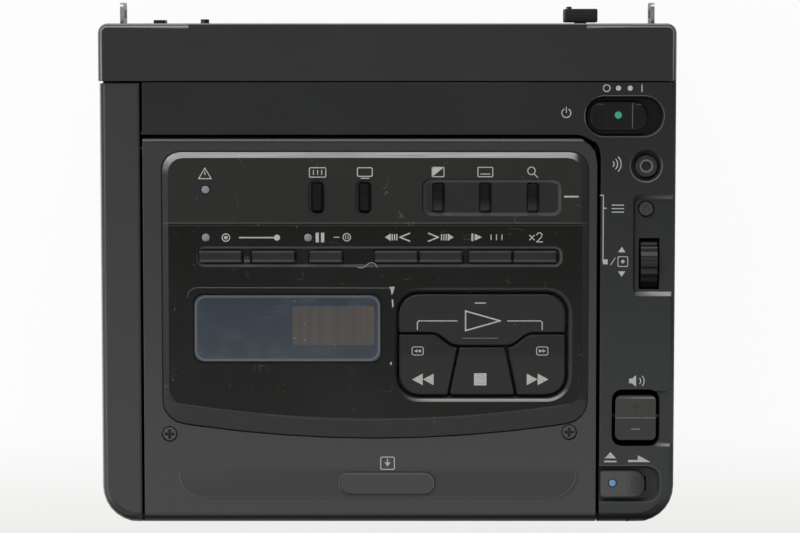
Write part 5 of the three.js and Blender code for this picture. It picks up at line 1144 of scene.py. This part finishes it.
# thin film stuck over the display: its rear edge and corner show, its right corners are scuffed,
# and a fibre lies behind it
filmLook = {"left": -51.4, "right": 1.5, "rear": -5.95, "lean": 0.1, "corner": 2.6, "thick": 0.02}
filmCorner = (filmLook["left"] + filmLook["corner"], filmLook["rear"] - filmLook["corner"])
filmEdge = {
    "rear": (
        "line",
        [(filmCorner[0], filmLook["rear"]), (filmLook["right"], filmLook["rear"] - filmLook["lean"])],
        0.1,
    ),
    "corner": ("ring", filmCorner, filmLook["corner"], 0.08, 90.0, 90.0),
}
filmScuffs = {
    "rear": ("patch", [(0.4, -5.8), (1.9, -5.7), (1.5, -7.2), (1.1, -7.9), (0.9, -6.6)]),
    "side": ("patch", [(1.1, -9.0), (1.5, -9.0), (1.6, -10.6), (1.3, -11.3)]),
    "front": ("patch", [(0.6, -25.4), (1.2, -25.0), (1.0, -26.1)]),
}
filmFibre = {
    "curl": (
        "line",
        [(-7.7, -0.7), (-6.6, -0.9), (-5.6, -0.5), (-4.8, 0.3), (-3.9, 0.5), (-3.1, 0.1), (-2.6, -0.8)],
        0.12,
    ),
}
printSigns("filmEdge", filmEdge, panelTop, greyInkAndHighlight, "lid", "reel", filmLook["thick"])
printSigns("filmScuffs", filmScuffs, panelTop, whiteInk, "lid", "reel", filmLook["thick"])
printSigns("filmFibre", filmFibre, panelTop, whiteInk, "lid", "reel", 0.05)


# white paper with a glow of its own, and a painted shadow that makes it a little duller close in front of
# the recorder
stageLook = {
    "size": 9.0, "paper": "f6f6f6", "fleck": "f0f0f1", "glow": 0.94, "near": "eeeeec", "far": "ffffff",
    "fade": (-0.085, -0.045), "front": (0.02, 0.4),
}


def addFloor():
    look = stageLook
    shape = bmesh.new()
    bmesh.ops.create_grid(shape, x_segments=1, y_segments=1, size=look["size"] / 2)
    paint = Paint("whitePaper", 0.9, specular=0.1)
    paint.set("Base Color", paint.mix(paint.noise(3.0, 2.0), look["fleck"], look["paper"]))
    y = paint.axis("Y") * mm
    # the band of painted shadow in front of the recorder
    depth = y.ease(*look["fade"]).larger((look["fade"][0] - y).ease(*look["front"]))
    glow = paint.node("ShaderNodeEmission", values={"Color": paint.mix(depth, look["near"], look["far"])})
    ray = paint.node("ShaderNodeLightPath")
    skin = Signal(paint, paint.shader.outputs[0])
    both = paint.node("ShaderNodeMixShader", values={0: ray * look["glow"], 1: skin, 2: glow})
    paint.feed(paint.tree.nodes["Material Output"], "Surface", both)
    floor = madeObject("paperFloor", shape, paint.material)


# the room is dim overhead, pale behind and dark in front, with one pale patch above the front;
# to the camera itself it is white
roomLook = {
    "height": (0.1, 0.85, 1.0, 0.1), "depth": (-0.6, 0.2, 0.25, 1.0), "room": 0.35,
    "patchFront": (-0.5, -0.28), "patchRear": (-0.17, -0.03, 1.0, 0.0), "patchHeight": (0.5, 0.7),
    "patch": 1.6,
}


def addWorld():
    look = roomLook
    world = bpy.data.worlds.new("studio")
    bpy.context.scene.world = world
    world.use_nodes = True
    graph = Graph(world.node_tree)
    way = graph.node("ShaderNodeTexCoord")
    y, z = (graph.node("ShaderNodeSeparateXYZ", values={"Vector": way}, output=name) for name in "YZ")
    room = z.ease(*look["height"]) * y.ease(*look["depth"]) * look["room"]
    patch = y.ease(*look["patchRear"]) * y.ease(*look["patchFront"])
    patch = patch * z.ease(*look["patchHeight"]) * look["patch"]
    seen = graph.node("ShaderNodeLightPath")
    back = graph.tree.nodes["Background"]
    graph.feed(back, "Color", (1.0, 1.0, 1.0, 1.0))
    graph.feed(back, "Strength", (room + patch).larger(seen))


lightAim = (0.0, 0.0, 0.05)
softBoxes = {
    "rearBox": {"place": (-0.35, 1.05, 0.78), "size": (1.7, 0.8), "power": 13.5},
    "leftBox": {"place": (-1.1, 0.1, 0.75), "size": (0.5, 0.9), "power": 3.5},
}


def addLights():
    for name, box in softBoxes.items():
        data = bpy.data.lights.new(name, "AREA")
        data.shape = "RECTANGLE"
        data.size, data.size_y = box["size"]
        data.energy = box["power"]
        lamp = bpy.data.objects.new(name, data)
        lamp.location = box["place"]
        aim = Vector(lightAim) - lamp.location
        lamp.rotation_euler = aim.to_track_quat("-Z", "Y").to_euler()
        bpy.context.scene.collection.objects.link(lamp)


addFloor()
addWorld()
addLights()
bpy.context.scene.view_settings.view_transform = "Standard"
print("stage lit")
